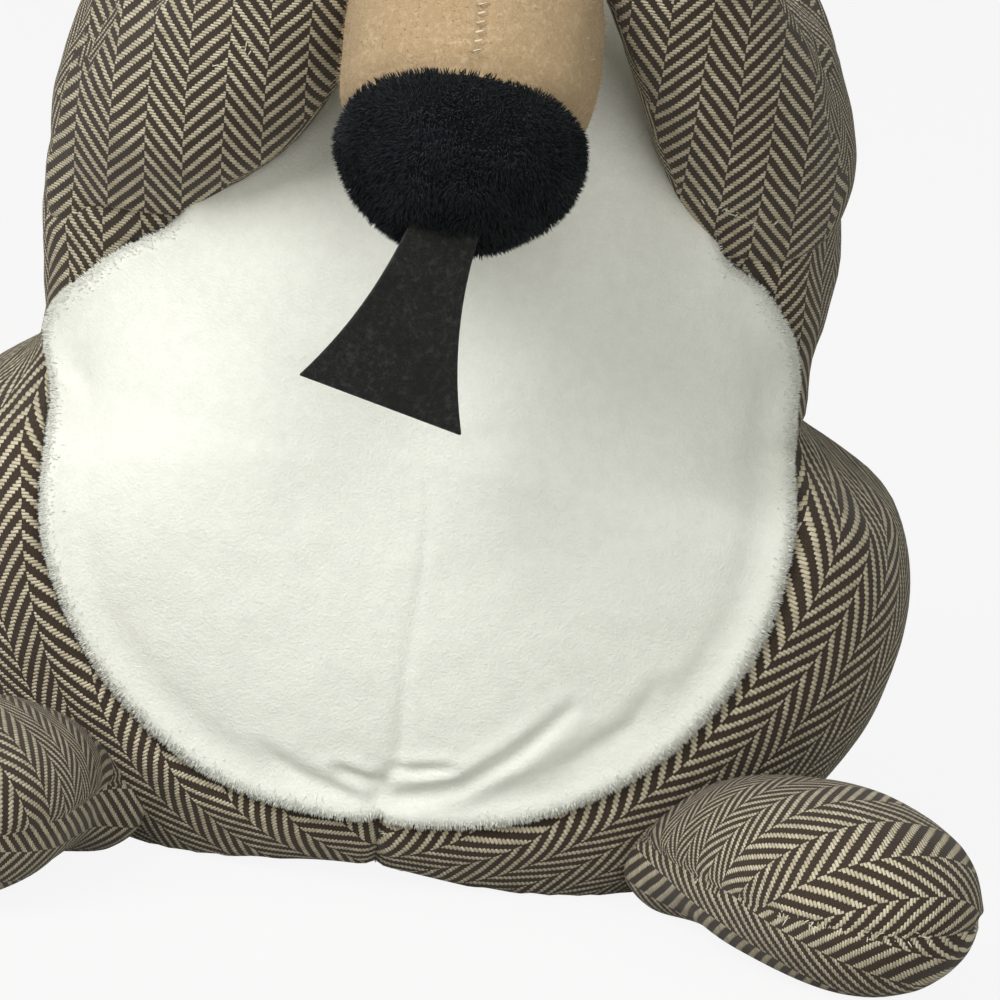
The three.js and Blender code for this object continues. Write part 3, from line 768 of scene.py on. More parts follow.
# Seams and creases of the tummy, as (x, z) points in the front view
CENTRE_SEAM = [(-0.3, 11), (-0.5, 20.9), (2.0, 25.5), (1.8, 31), (1.6, 42), (1.9, 47), (2.7, 62), (2.2, 78)]
TUMMY_CREASES = [
    ([(3.5, 18.3), (13.3, 22.3), (21.8, 29.1), (27.2, 34.5), (32.1, 40.4)], 1.1, 2.6),
    ([(2.4, 23.6), (13.0, 25.7)], 0.8, 1.8),
    ([(-7.8, 22.7), (-0.9, 20.3)], 1.0, 2.0),
    ([(-3.0, 16.5), (-16.0, 21.0), (-24.0, 27.0)], 0.45, 3.0),
    ([(30.0, 27.0), (41.0, 36.0), (46.0, 46.0)], 0.5, 3.6),
]


def body_angles():
    """Rows of the body's grid, finer below than above, with one row where hip and chest meet."""
    low, high = BODY_ROWS * 2 // 3, BODY_ROWS // 3
    return np.concatenate([np.linspace(-90, CHEST_ANGLE, low), np.linspace(CHEST_ANGLE, 90, high)[1:]])


def edge_distance(points):
    """How far inside the tummy's seam each point of the front lies, seen from the front."""
    up, out = points[:, 2] - TUMMY_HEIGHT, np.abs(points[:, 0])
    angle = np.degrees(np.arctan2(up, np.maximum(out, 1e-6)))
    edge = np.where(points[:, 0] < 0, tummy_edges[-1](angle), tummy_edges[1](angle))
    return edge - np.hypot(out, up), angle


def tummy_relief(points):
    """The plush tummy's rim, seam, creases and soft lumps."""
    inside, angle = edge_distance(points)
    low = 1 - smooth_step(angle, 8, 40)
    rim = (0.35 + 0.65 * low) * (1.1 * bell(inside - 3.2, 1.9))
    valley = low * (-0.55 * bell(inside - 8.0, 2.6))
    seam_dip = -SEAM_DEPTH * bell(inside, 1.3)
    away, along = distance_to_path(points, CENTRE_SEAM)
    seam = -bell(away, 1.1) * (0.25 + 1.3 * (1 - along) ** 2.2)
    seam -= 0.5 * bell(away, 4.5) * (1 - along) ** 3
    relief = rim + valley + seam_dip + seam
    for path, depth, width in TUMMY_CREASES:
        away, along = distance_to_path(points, path)
        fade = np.sin(np.pi * np.clip(0.12 + 0.88 * along, 0, 1)) ** 0.7
        fold = -bell(away, width * 0.5)
        fold += 0.45 * bell(away - width, width * 0.7)
        relief += CREASE_DEPTH * depth * fade * fold
    relief += 0.55 * lumps(points, 22, 1) + 0.2 * lumps(points, 7, 2)
    return relief


def make_tummy():
    """The cream plush panel, its two halves sewn to each other and into the body."""
    angles = body_angles()
    ring = np.linspace(0, 1, TUMMY_RINGS + 1) ** 0.9
    halves = []
    for side in (1, -1):
        turn = turn_at_edge(angles, side)[:, None] * ring[None, :]
        half = body_points(np.repeat(angles[:, None], len(ring), 1), turn, side)
        halves.append(half if side > 0 else half[::-1][1:-1])
    points = np.concatenate([*halves, halves[0][:1]], axis=0)
    piece = grid_piece("tummy_plush", points)
    tidy_mesh(piece, (0, 20, TUMMY_HEIGHT))
    press(piece, tummy_relief)
    thicken(piece, PLUSH)
    return dress(piece, "cream", ("tummy_left", "tummy_right"))


def cloth_of_hip(angle, across, side):
    """Cloth coordinates of the hip: columns follow wide arcs and lean over towards the back."""
    middle = HIP_CLOTH_MIDDLE[side]
    reach = tummy_edges[side](angle) + HIP_FORESHORTENING * across
    x = reach * np.cos(np.radians(angle)) - middle[0]
    z = reach * np.sin(np.radians(angle)) - middle[1]
    lean = HIP_LEAN * across
    over = np.hypot(x, z) - lean * (z + middle[1] + 25)
    up = HIP_CLOTH_RADIUS * np.arctan2(z, x) + HIP_FORESHORTENING * lean * across / 2
    return np.stack([side * over, up], -1)


def side_relief(points):
    """The fold under the seam, a groove down the middle line, a swell round the arms and soft lumps of the
    tweed sides.
    """
    inside, angle = edge_distance(points)
    front = points[:, 1] < 5
    relief = front * -SEAM_DEPTH * 0.7 * bell(inside, 1.2)
    relief += front * 0.5 * bell(inside + 4, 2.4)
    relief += 0.6 * lumps(points, 26, 4) + 0.22 * lumps(points, 8, 5)
    relief -= 1.2 * bell(points[:, 0], 1.2)
    relief *= smooth_step(points[:, 2], 0.2, 4)
    for word, side in SIDES.items():
        gaps = [np.linalg.norm(points - (side * x, y, z), axis=1) - r for x, y, z, r in arm_balls(word)]
        away = np.min(gaps, axis=0)
        near = np.clip(1 - np.maximum(away, 0) / ARM_FILLET, 0, 1) ** 2
        relief += ARM_FILLET / 4 * near * smooth_step(-inside, 0.5, 7)
    return relief


def make_body_side(name, side):
    """One tweed side from the tummy's seam round to the centre of the back."""
    angles = body_angles()
    start = turn_at_edge(angles, side)
    front_share, back_share = np.linspace(0, 1, FRONT_STEPS + 1), np.linspace(0, 1, BACK_STEPS + 1)
    front_turn = start[:, None] + (SIDE_SEAM_TURN - start)[:, None] * front_share
    back_turn = np.repeat((SIDE_SEAM_TURN + (180 - SIDE_SEAM_TURN) * back_share)[None], len(angles), 0)
    grids = []
    for turn in (front_turn, back_turn):
        grids.append(body_points(np.repeat(angles[:, None], turn.shape[1], 1), turn, side))
    across = arc_lengths(grids[0])
    hip_cloth = cloth_of_hip(angles[:, None], across, side)
    start = side * grids[0][:, :1, 0]
    wide = start + CHEST_FLAT_SHARE * (side * grids[0][..., 0] - start) + (1 - CHEST_FLAT_SHARE) * across
    chest_cloth = np.stack([side * wide, CLOTH_RISE * grids[0][..., 2]], -1)
    from_back = arc_lengths(grids[1][:, ::-1])[:, ::-1]
    turn_in = np.radians(angles)[:, None]
    back_cloth = np.stack([side * from_back * np.cos(turn_in), from_back * np.sin(turn_in)], -1)
    chest = int(np.argmin(np.abs(angles - CHEST_ANGLE)))
    rows = [*range(chest + 1), *range(chest, len(angles))]
    points = np.concatenate(grids, axis=1)[rows]
    front_cloth = np.concatenate([hip_cloth[:chest + 1], chest_cloth[chest:]])
    piece = grid_piece(name, points, np.concatenate([front_cloth, back_cloth[rows]], axis=1))
    tidy_mesh(piece, (side * 30, 0, TUMMY_HEIGHT))
    press(piece, side_relief)
    thicken(piece, TWEED)
    return piece


def make_base():
    """The flat panel underneath, drawn up at the front."""
    share, turn = np.meshgrid(np.linspace(0, 1, 24), np.linspace(0, 2 * math.pi, 97))
    x, y = BASE_PANEL_HALF[0] * share * np.cos(turn), BASE_PANEL_HALF[1] * share * np.sin(turn)
    points = np.stack([x, y, base_lift(x, y, 0 * x)], -1)
    piece = grid_piece("base_tweed", points, points[:, :, :2])
    tidy_mesh(piece, (0, 0, 30))
    thicken(piece, TWEED)
    return dress(piece, "tweed", ("base_panel",))


class SQUIRREL_OT_body(bpy.types.Operator):
    """Make the tweed sides, the base and the plush tummy"""

    bl_idname = "squirrel.body"
    bl_label = "Body"

    def execute(self, context):
        for word, side in SIDES.items():
            piece = make_body_side("body_tweed_" + word, side)
            dress(piece, "tweed", ("body_side_" + word,))
        make_tummy()
        make_base()
        return {"FINISHED"}


# Arms and feet

ARM_KEYS = {
    "left": [
        (44, 0, 163, 15.5), (49.5, -15, 150, 16.5), (53.3, -29, 131, 17), (46, -49, 135, 17.5),
        (38, -60, 144, 17), (30, -72, 158, 15), (26.0, -81, 171, 14),
    ],
    "right": [
        (41.5, 0, 163, 15), (47, -15, 151, 15.5), (52.3, -30, 134, 16.7), (49, -48, 139, 15.8),
        (44, -60, 149, 15), (37.5, -72, 161, 14), (31, -81, 172, 13.5),
    ],
}
ARM_FILLS = {
    "left": [(55, -22, 114, 14.5), (50, -32, 145, 16.5), (45, -46, 150, 15.5)],
    "right": [(50, -32, 147, 15), (45, -46, 153, 14)],
}
ARM_FILLET = 15
ARM_SWELL = 2.0
FOOT_SWELL = 1.5
STUFFING_PRESSURE = 3.0
LIMB_VOXEL = 2.6
CLOTH_RISE = 1.06
SIDEWAYS = 0.3
FOOT_KEYS = {
    "left": [
        (51, -46, 8, 11), (61, -52, 12.5, 15.5), (67.5, -64, 14.5, 19.5), (73, -77, 14.5, 21.3),
        (77, -86, 14, 20.5),
    ],
    "right": [
        (53, -44, 8, 11), (62.5, -52, 13, 16), (70, -62, 15.5, 19.8), (78, -72, 15.8, 21.6),
        (83.5, -79, 15.2, 20.8),
    ],
}
FOOT_FLATTEN = 0.8
FOOT_PANEL = (34, 22, 19)
FOOT_PANEL_TILT = 25
FOOT_COLUMNS_TURN = 78
FOOT_SEAM = 14.5
FILLING_INSET = 3.4
FILLING_VOXEL = 4
FILLING_FLOOR = 2.4


def arm_balls(word):
    """The balls that an arm's form is drawn round, on the right of the body."""
    return balls_along(ARM_KEYS[word], 6) + ARM_FILLS[word]


def panel_cloth(points, middle, axes, sizes):
    """Cloth coordinates of a panel sewn over an egg: lengths along its surface from the panel's middle."""
    along, across, up = ((points - middle) @ np.array(axes).T).T
    turn = np.arctan2(across, along)
    reach = 1 / np.hypot(np.cos(turn) / sizes[0], np.sin(turn) / sizes[1])
    tilt = np.arctan2(np.hypot(along, across) / reach, up / sizes[2])
    steps = tilt[:, None] * (np.arange(16) + 0.5) / 16
    arc = np.hypot(reach[:, None] * np.cos(steps), sizes[2] * np.sin(steps)).sum(1) * tilt / 16
    return np.stack([arc * np.sin(turn), arc * np.cos(turn)], -1)


def make_arm(word, side):
    """A stuffed arm, with its pattern laid flat in front and edge-on at the sides."""
    balls = [(side * x, y, z, r) for x, y, z, r in balls_along(ARM_KEYS[word]) + ARM_FILLS[word]]
    piece = stuffed("arm_tweed_" + word, balls, LIMB_VOXEL, 16)
    fill_with_stuffing(piece, STUFFING_PRESSURE, ARM_SWELL)
    subdivide(piece)
    body = bpy.data.objects["body_tweed_" + word]
    skin = BVHTree.FromPolygons(
        [v.co.copy() for v in body.data.vertices], [tuple(p.vertices) for p in body.data.polygons])

    def relief(points):
        away = np.full(len(points), float(ARM_FILLET))
        for k, point in enumerate(points):
            place, normal, _, gap = skin.find_nearest(Vector(point) * MM, ARM_FILLET * MM)
            if place is not None:
                away[k] = gap / MM if (Vector(point) * MM - place).dot(normal) > 0 else 0
        near = (1 - away / ARM_FILLET) ** 2
        return ARM_FILLET / 5 * near + 0.5 * lumps(points, 17, 8 + side) + 0.25 * lumps(points, 6, 11 + side)

    press(piece, relief)
    points = places_of(piece)
    front, edge = (np.stack([side * points[:, k], CLOTH_RISE * points[:, 2]], -1) for k in (0, 1))
    set_cloth(piece, front, edge, np.abs(normals_of(piece)[:, 1]) < SIDEWAYS)
    make_filling("arm", word, balls)
    return dress(piece, "tweed", ("arm_" + word,))


def make_filling(limb, word, balls, flatten=1.0):
    """The loose filling inside a stuffed limb."""
    inner = [(x, y, z + 0.5, r - FILLING_INSET) for x, y, z, r in balls]
    piece = stuffed(f"{limb}_filling_{word}", inner, FILLING_VOXEL, 4, flatten)
    stand(piece, FILLING_FLOOR)
    dress(piece, "stuffing", (f"{limb}_stuffing_{word}",))


def foot_axes(word, side):
    """The foot's middle and the axes of its upper panel: along, across and out."""
    keys = np.array(FOOT_KEYS[word])[:, :3] * (side, 1, 1)
    along = (keys[-1] - keys[0]) / np.linalg.norm(keys[-1] - keys[0])
    across = np.cross((0, 0, 1), along)
    across /= np.linalg.norm(across)
    up = np.cross(along, across)
    out, down = rotated(up, along, FOOT_PANEL_TILT)
    return keys[2:4].mean(0), (down, across, out)


def make_foot(word, side):
    """A stuffed foot: an upper panel over a sole, with a seam between them."""
    balls = [(side * x, y, z, r) for x, y, z, r in balls_along(FOOT_KEYS[word])]
    piece = stuffed("foot_tweed_" + word, balls, LIMB_VOXEL, 12, FOOT_FLATTEN)
    fill_with_stuffing(piece, STUFFING_PRESSURE, FOOT_SWELL)
    stand(piece)
    subdivide(piece)
    middle, axes = foot_axes(word, side)

    def relief(points):
        seam = bell(points[:, 2] - FOOT_SEAM, 0.8)
        return (0.4 * lumps(points, 14, 14 + side) - 0.7 * seam) * smooth_step(points[:, 2], 0.5, 4)

    press(piece, relief)
    stand(piece)
    points = places_of(piece)
    turn = math.radians(FOOT_COLUMNS_TURN)
    upper = panel_cloth(points, middle, axes, FOOT_PANEL)
    upper = upper @ np.array([[math.cos(turn), math.sin(turn)], [-math.sin(turn), math.cos(turn)]])
    sole = np.stack([points[:, 2] + 0.3 * points[:, 0], 1.1 * side * points[:, 0] - 0.5 * points[:, 1]], -1)
    set_cloth(piece, upper, sole, points[:, 2] < FOOT_SEAM)
    make_filling("foot", word, balls, FOOT_FLATTEN)
    return dress(piece, "tweed", ("foot_" + word,))


class SQUIRREL_OT_limbs(bpy.types.Operator):
    """Make the stuffed arms and feet"""

    bl_idname = "squirrel.limbs"
    bl_label = "Arms and feet"

    def execute(self, context):
        for word, side in SIDES.items():
            make_arm(word, side)
            make_foot(word, side)
        return {"FINISHED"}


# Head

HEAD_MIDDLE = (0, -22, 212)
HEAD_LIMIT = 90
HEAD_BLEND = 7
HEAD_TURNS = 96
FACE_LIMIT = 120
FACE_RINGS = 26
BACK_RINGS = 52


def head_field(points):
    """Below 0 inside the skull or the snout, with a soft join between them."""
    skull = (np.linalg.norm((points - SKULL_CENTRE) / SKULL, axis=-1) - 1) * SKULL[0]
    snout = (np.linalg.norm((points - SNOUT_CENTRE) / SNOUT, axis=-1) - 1) * SNOUT[0]
    share = np.clip(0.5 + 0.5 * (snout - skull) / HEAD_BLEND, 0, 1)
    return snout * (1 - share) + skull * share - HEAD_BLEND * share * (1 - share)


def head_points(turn, round_about):
    """Where rays from the head's middle leave it: turn 0 is the snout's tip and 180 the back."""
    t, r = np.radians(turn), np.radians(round_about)
    ray = np.stack([np.sin(t) * np.cos(r), -np.cos(t), np.sin(t) * np.sin(r)], -1)

    def on_ray(reach):
        return np.array(HEAD_MIDDLE) + ray * reach[..., None]

    points = on_ray(farthest(lambda reach: head_field(on_ray(reach)) < 0, HEAD_LIMIT, t.shape, 26))
    points[..., 2] = np.maximum(points[..., 2], NECK[1] + 0.15)
    return points


def face_edge(round_about):
    """The turn at which the face meets the tweed, where the head crosses a ball round the snout."""

    def on_snout(turn):
        return np.linalg.norm(head_points(turn, round_about) - SNOUT_CENTRE, axis=-1) < FACE_RADIUS

    return farthest(on_snout, FACE_LIMIT, round_about.shape, 24)


def make_head():
    """The plush face and the tweed head behind it."""
    round_about = np.linspace(0, 360, HEAD_TURNS + 1)
    edge = face_edge(round_about)[:, None]
    face_turn = edge * np.linspace(0, 1, FACE_RINGS + 1)
    back_turn = edge + (180 - edge) * np.linspace(0, 1, BACK_RINGS + 1)
    grids = []
    for turn in (face_turn, back_turn):
        grids.append(head_points(turn, np.repeat(round_about[:, None], turn.shape[1], 1)))
    face = grid_piece("face_plush", grids[0])
    head = grid_piece("head_tweed", grids[1])
    for piece in (face, head):
        tidy_mesh(piece, SKULL_CENTRE)

    def relief(points):
        from_edge = np.linalg.norm(points - np.array(SNOUT_CENTRE), axis=1) - FACE_RADIUS
        dip = -1.1 * bell(from_edge, 1.2)
        crown = -0.7 * bell(points[:, 0], 1.0) * (from_edge > 0)
        return dip + crown + 0.5 * lumps(points, 16, 21)

    press(face, relief)
    press(head, relief)
    thicken(face, PLUSH)
    thicken(head, TWEED)
    points = places_of(head)
    over = points[:, 2] - SKULL_CENTRE[2]
    round_side = np.hypot(points[:, 0], over) * np.arctan2(np.abs(points[:, 0]), over)
    back = np.stack([points[:, 0], points[:, 2]], -1)
    set_cloth(head, np.stack([points[:, 1], -round_side], -1), back, normals_of(head)[:, 1] > 0.6)
    dress(face, "cream", ("face",))
    dress(head, "tweed", ("head_left", "head_right"))


EAR_SIZE = (30, 40)
EAR_SPREAD = 25
EAR_TILT = 14
EAR_FOOT = 248.5
EAR_THICKNESS = 9


def ear_outline(up):
    """Half the ear's width, as a share, at a share of its height."""
    return np.sin(np.pi * np.clip(0.22 + 0.78 * up, 0, 1)) ** 0.6


def make_ear(word, side, lining):
    """A leaf-shaped pad, or the plush that lines its hollow front."""
    half, height = EAR_SIZE[0] / 2, EAR_SIZE[1]
    shrink = 0.68 if lining else 1.0
    up, turn = np.meshgrid(np.linspace(0, 1, 36), np.linspace(0, 2 * math.pi, 41), indexing="ij")
    width = half * shrink * ear_outline(up) * np.sqrt(np.clip(1 - up ** 8, 0, 1))
    thick = 1.2 if lining else EAR_THICKNESS / 2 * np.clip(1.05 - 0.5 * up, 0, 1)
    thick = thick * np.sqrt(np.clip(1 - up ** 8, 0, 1))
    x = width * np.cos(turn)
    y = thick * np.sin(turn)
    hollow = 1.4 * np.clip(1 - (x / half) ** 2, 0, 1) * np.sin(np.pi * np.clip(up, 0, 1))
    y = np.where(np.sin(turn) < 0, y + (0 if lining else hollow), y)
    z = height * (up * shrink + (0.12 if lining else 0))
    if lining:
        y = y - EAR_THICKNESS / 2 * np.clip(1.05 - 0.5 * z / height, 0, 1) * 0.86 - 0.4
    aside, rise = rotated(x, z, side * EAR_TILT)
    points = np.stack([side * EAR_SPREAD + aside, SKULL_CENTRE[1] + y, EAR_FOOT - 2 + rise], -1)
    start, end = points[0].mean(0), points[-1].mean(0)
    points = np.concatenate([np.broadcast_to(start, (1, *points.shape[1:])), points,
                             np.broadcast_to(end, (1, *points.shape[1:]))], 0)
    flat = np.stack([np.concatenate([x[:1], x, x[-1:]]), np.concatenate([z[:1], z, z[-1:]])], -1)
    name = "ear_lining_plush_" if lining else "ear_tweed_"
    piece = grid_piece(name + word, points, flat)
    tidy_mesh(piece, points.reshape(-1, 3).mean(0))
    if lining:
        return dress(piece, "cream", ("ear_lining_" + word,))
    return dress(piece, "tweed", ("ear_" + word,))


def make_bead(name, centre, radii, spread, rise, diameter, node):
    """A domed bead that sits on the head, turned to look outwards."""
    out = Vector((
        math.sin(math.radians(spread)) * math.cos(math.radians(rise)),
        -math.cos(math.radians(spread)) * math.cos(math.radians(rise)),
        math.sin(math.radians(rise)),
    ))
    reach = 1 / math.hypot(out.x / radii[0], out.y / radii[1], out.z / radii[2])
    place = (Vector(centre) + out * (reach + 0.4)) * MM
    only(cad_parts[node])
    bpy.ops.mesh.primitive_uv_sphere_add(
        segments=48, ring_count=32, radius=diameter / 2 * MM, location=(0, 0, 0))
    piece = bpy.context.active_object
    piece.name = name
    turn = out.to_track_quat("Z", "Y").to_matrix().to_4x4()
    piece.data.transform(Matrix.Translation(place) @ turn @ Matrix.Diagonal((1, 1, 0.75, 1)))
    piece.data.shade_smooth()
    return dress(piece, "bead", (node,))


class SQUIRREL_OT_head(bpy.types.Operator):
    """Make the head, its face, ears, eyes and nose"""

    bl_idname = "squirrel.head"
    bl_label = "Head"

    def execute(self, context):
        make_head()
        for word, side in SIDES.items():
            make_ear(word, side, False)
            make_ear(word, side, True)
            make_bead("eye_bead_" + word, SKULL_CENTRE, SKULL, side * EYE_SPREAD, EYE_RISE, 9, "eye_" + word)
        make_bead("nose_bead", SNOUT_CENTRE, SNOUT, 0, NOSE_RISE, 12, "nose")
        return {"FINISHED"}


# Acorn


def place_acorn(points):
    """Turns points from the acorn's own axis to where the paws hold it."""
    level, rise = rotated(points[..., 1], points[..., 2], ACORN_TILT)
    return np.stack([points[..., 0], level, rise], -1) + ACORN_PLACE


def lathe(name, profile, steps, turns):
    """A closed form turned round the acorn's axis, from (radius, along) pairs."""
    steps_along = np.linalg.norm(np.diff(np.array(profile, float), axis=0), axis=1)
    lengths = np.concatenate([[0], np.cumsum(steps_along)])
    stations = np.linspace(0, lengths[-1], steps)
    radius = np.interp(stations, lengths, [r for r, _ in profile])
    along = np.interp(stations, lengths, [a for _, a in profile])
    for _ in range(3):
        radius[1:-1] = (radius[:-2] + 2 * radius[1:-1] + radius[2:]) / 4
        along[1:-1] = (along[:-2] + 2 * along[1:-1] + along[2:]) / 4
    radius[[0, -1]] = 0
    turn = np.linspace(0, 2 * math.pi, turns + 1)
    ring = np.stack([np.cos(turn), np.sin(turn)], -1)
    points = np.concatenate([radius[:, None, None] * ring[None], np.broadcast_to(
        along[:, None, None], (steps, turns + 1, 1))], -1)
    piece = grid_piece(name, place_acorn(points))
    tidy_mesh(piece, place_acorn(np.array([0, 0, sum(a for _, a in profile) / len(profile)])))
    return piece


NUT_FIBRES = 6000


def make_nut():
    """The felt nut with its front seam and fuzz."""
    r = NUT_RADIUS
    profile = [(0, 1), (17, 1), (18.2, 7.5), (r * 0.97, 10), (r, 18), (r, 27), (r * 0.96, 35), (r * 0.82, 46),
               (r * 0.5, 57), (r * 0.2, 61.2), (0, NUT_LENGTH)]
    piece = lathe("nut_felt", profile, 84, 120)

    def relief(points):
        away = points[:, 0] - NUT_SEAM
        seam = -0.7 * bell(away, 0.7) * (points[:, 1] < -70)
        pucker = 0.14 * np.sin(points[:, 2] * 2.4) * bell(away, 2.6)
        return seam + pucker + 0.4 * lumps(points, 9, 31)

    press(piece, relief)
    dress(piece, "tan", ("acorn_nut",))
    make_nut_stitches()
    roots, normals = scatter(piece, NUT_FIBRES, 32)
    random = np.random.default_rng(33)
    ways = normals + random.normal(0, 0.7, roots.shape)
    fuzz = pile("nut_fuzz", roots, ways, random.uniform(0.4, 1.1, len(roots)), 0.09, np.zeros(3), 34)
    dress(fuzz, "tan_pile")


def make_nut_stitches():
    """Slanted stitches down the nut's front seam."""
    roots, ways = [], []
    for along in np.arange(9.5, 52, 1.7):
        radius = NUT_RADIUS * math.cos(max(0.0, along - 27) / 45)
        middle = NUT_SEAM - ACORN_PLACE[0]
        base = place_acorn(np.array([middle - 0.7, -radius + 0.1, along]))
        tip = place_acorn(np.array([middle + 0.6, -radius + 0.1, along + 0.5]))
        roots.append(base)
        ways.append(tip - base)
    roots, ways = np.array(roots), np.array(ways)
    piece = pile("nut_stitches", roots, ways, np.full(len(roots), 1.6), 0.42, np.zeros(3), 5)
    dress(piece, "seam_thread")


CAP_FIBRES = 19000


def make_cap():
    """The cap, whose plush pile stops at its lip."""
    r = CAP_RADIUS - 0.6
    profile = [(0, -CAP_DOME + 1.2), (r * 0.5, -CAP_DOME * 0.84), (r * 0.84, -CAP_DOME * 0.42), (r, 1.5),
               (r * 0.99, 4.5), (r * 0.93, CAP_LIP), (r * 0.80, CAP_LIP - 0.6), (0, CAP_LIP - 1)]
    piece = lathe("cap_plush", profile, 60, 96)
    press(piece, lambda points: 0.7 * lumps(points, 8, 41))
    dress(piece, "black", ("acorn_cap",))
    lip = place_acorn(np.array([0, 0, CAP_LIP - 1.2]))
    axis = place_acorn(np.array([0, 0, 1.0])) - place_acorn(np.array([0, 0, 0.0]))
    roots, normals = scatter(piece, CAP_FIBRES, 42, lambda places: ((places - lip) @ axis < 0.6) + 0.0)
    random = np.random.default_rng(43)
    swirl = np.stack([lumps(roots, 7, k) for k in (44, 45, 46)], -1)
    ways = normals + 0.9 * swirl + random.normal(0, 0.22, roots.shape)
    lengths = bpy.context.scene.squirrel_plush.cap_pile / MM * random.uniform(0.7, 1.1, len(roots))
    fibres = pile("cap_pile", roots, ways, lengths, 0.22, np.array([0, 0, -0.12]), 47)
    dress(fibres, "black_pile")


def make_stalk():
    """A flared piece of thick felt that hangs from the cap's middle."""
    half_top, half_end = STALK_TOP / 2, STALK_FLARE / 2
    down, across = np.meshgrid(np.linspace(0, 1, 40), np.linspace(-1, 1, 31), indexing="ij")
    flare = half_top + (half_end - half_top) * (0.25 * down + 0.75 * down ** 2.2)
    x = across * flare
    z = -STALK_LENGTH * down
    y = 0.9 * np.sin(2.2 * down + 0.6) * (1 + 0.5 * across)
    y, z = rotated(y, z, STALK_HANG)
    x, z = rotated(x, z, STALK_TURN)
    tilt = math.radians(ACORN_TILT)
    pole = 2 - CAP_DOME
    points = np.stack([x, y + ACORN_PLACE[1] + pole * math.sin(tilt) - FELT / 2,
                       z + ACORN_PLACE[2] + pole * math.cos(tilt)], -1)
    piece = grid_piece("stalk_felt", points)
    tidy_mesh(piece, (0, 0, ACORN_PLACE[2]))
    thicken(piece, FELT)
    apply_modifier(piece, "BEVEL", width=0.35 * MM, segments=2, limit_method="ANGLE")
    dress(piece, "charcoal", ("acorn_stalk",))


class SQUIRREL_OT_acorn(bpy.types.Operator):
    """Make the acorn: felt nut, plush cap and felt stalk"""

    bl_idname = "squirrel.acorn"
    bl_label = "Acorn"

    def execute(self, context):
        make_nut()
        make_cap()
        make_stalk()
        return {"FINISHED"}


# Tail

TAIL_KEYS = [
    (0, 48, 27, 23), (15, 77, 58, 36), (30, 85, 97, 38), (15, 83, 153, 38), (0, 89, 184, 28),
    (0, 107, 212, 19),
]
TAIL_VOXEL = 5
TAIL_MIDDLE = 81
TAIL_SLIMMING = 0.93
TAIL_FLATTEN = 0.78
TAIL_FILLING_INSET = 5
TAIL_FIBRES = 17000


class SQUIRREL_OT_tail(bpy.types.Operator):
    """Make the fur tail"""

    bl_idname = "squirrel.tail"
    bl_label = "Tail"

    def execute(self, context):
        balls = balls_along(TAIL_KEYS, 5)
        made = []
        for name, inward in (("tail_plush", 0), ("tail_filling", TAIL_FILLING_INSET)):
            slimmed = [(x, y, z, r * TAIL_SLIMMING - inward) for x, y, z, r in balls]
            piece = stuffed(name, slimmed, TAIL_VOXEL, 8)
            places = places_of(piece)
            places[:, 1] = TAIL_MIDDLE + (places[:, 1] - TAIL_MIDDLE) * TAIL_FLATTEN
            set_places(piece, places)
            made.append(piece)
        piece, filling = made
        stand(filling, 4)
        dress(filling, "stuffing", ("tail_stuffing",))
        press(piece, lambda p: 1.4 * lumps(p, 16, 51))
        stand(piece, 0.5)
        dress(piece, "fur", ("tail",))
        roots, normals = scatter(piece, TAIL_FIBRES, 52)
        random = np.random.default_rng(53)
        ways = normals + random.normal(0, 0.30, roots.shape) + np.array([0, 0, 0.35])
        lengths = context.scene.squirrel_plush.tail_pile / MM * random.uniform(0.6, 1.1, len(roots))
        keep = roots[:, 2] > 6
        fibres = pile("tail_pile", roots[keep], ways[keep], lengths[keep], 0.55, np.array([0, 0, 0.15]), 54)
        dress(fibres, "fur_pile")
        return {"FINISHED"}


# Loose pile and threads along the seams

RIM_FIBRES = 14000
FIRST_THREAD_SEED = 70

# Frayed yarn: piece, line in the front view, number of ends and width of the line
LOOSE_THREADS = (
    ("arm_tweed_right", [(43, 127.5), (50, 125.5), (58, 125)], 46, 0.7),
    ("arm_tweed_left", [(-34, 150), (-37, 147), (-42, 144.5)], 30, 0.9),
    ("foot_tweed_right", [(68, 14.5), (80, 14.8), (94, 14.2)], 90, 0.6),
    ("body_tweed_right", [(2, 3.4), (12, 2.6), (24, 1.8)], 40, 0.5),
    ("body_tweed_right", [(0.6, 4), (0.8, 9), (1.0, 11.5)], 26, 0.7),
)


def make_threads(name, path, count, width, seed):
    """Short frayed ends of cream yarn that stand off a seam."""
    def near(places):
        away, _ = distance_to_path(places, path)
        return (places[:, 1] < 0) * bell(away, width) + 1e-9

    roots, normals = scatter(bpy.data.objects[name], count, seed, near)
    random = np.random.default_rng(seed)
    ways = random.normal(0, 1, roots.shape)
    ways += (0.35 - (ways * normals).sum(1, keepdims=True)) * normals
    threads = pile(f"threads_{seed}", roots, ways, random.uniform(0.5, 1.3, count), 0.3, np.zeros(3), seed)
    dress(threads, "thread")


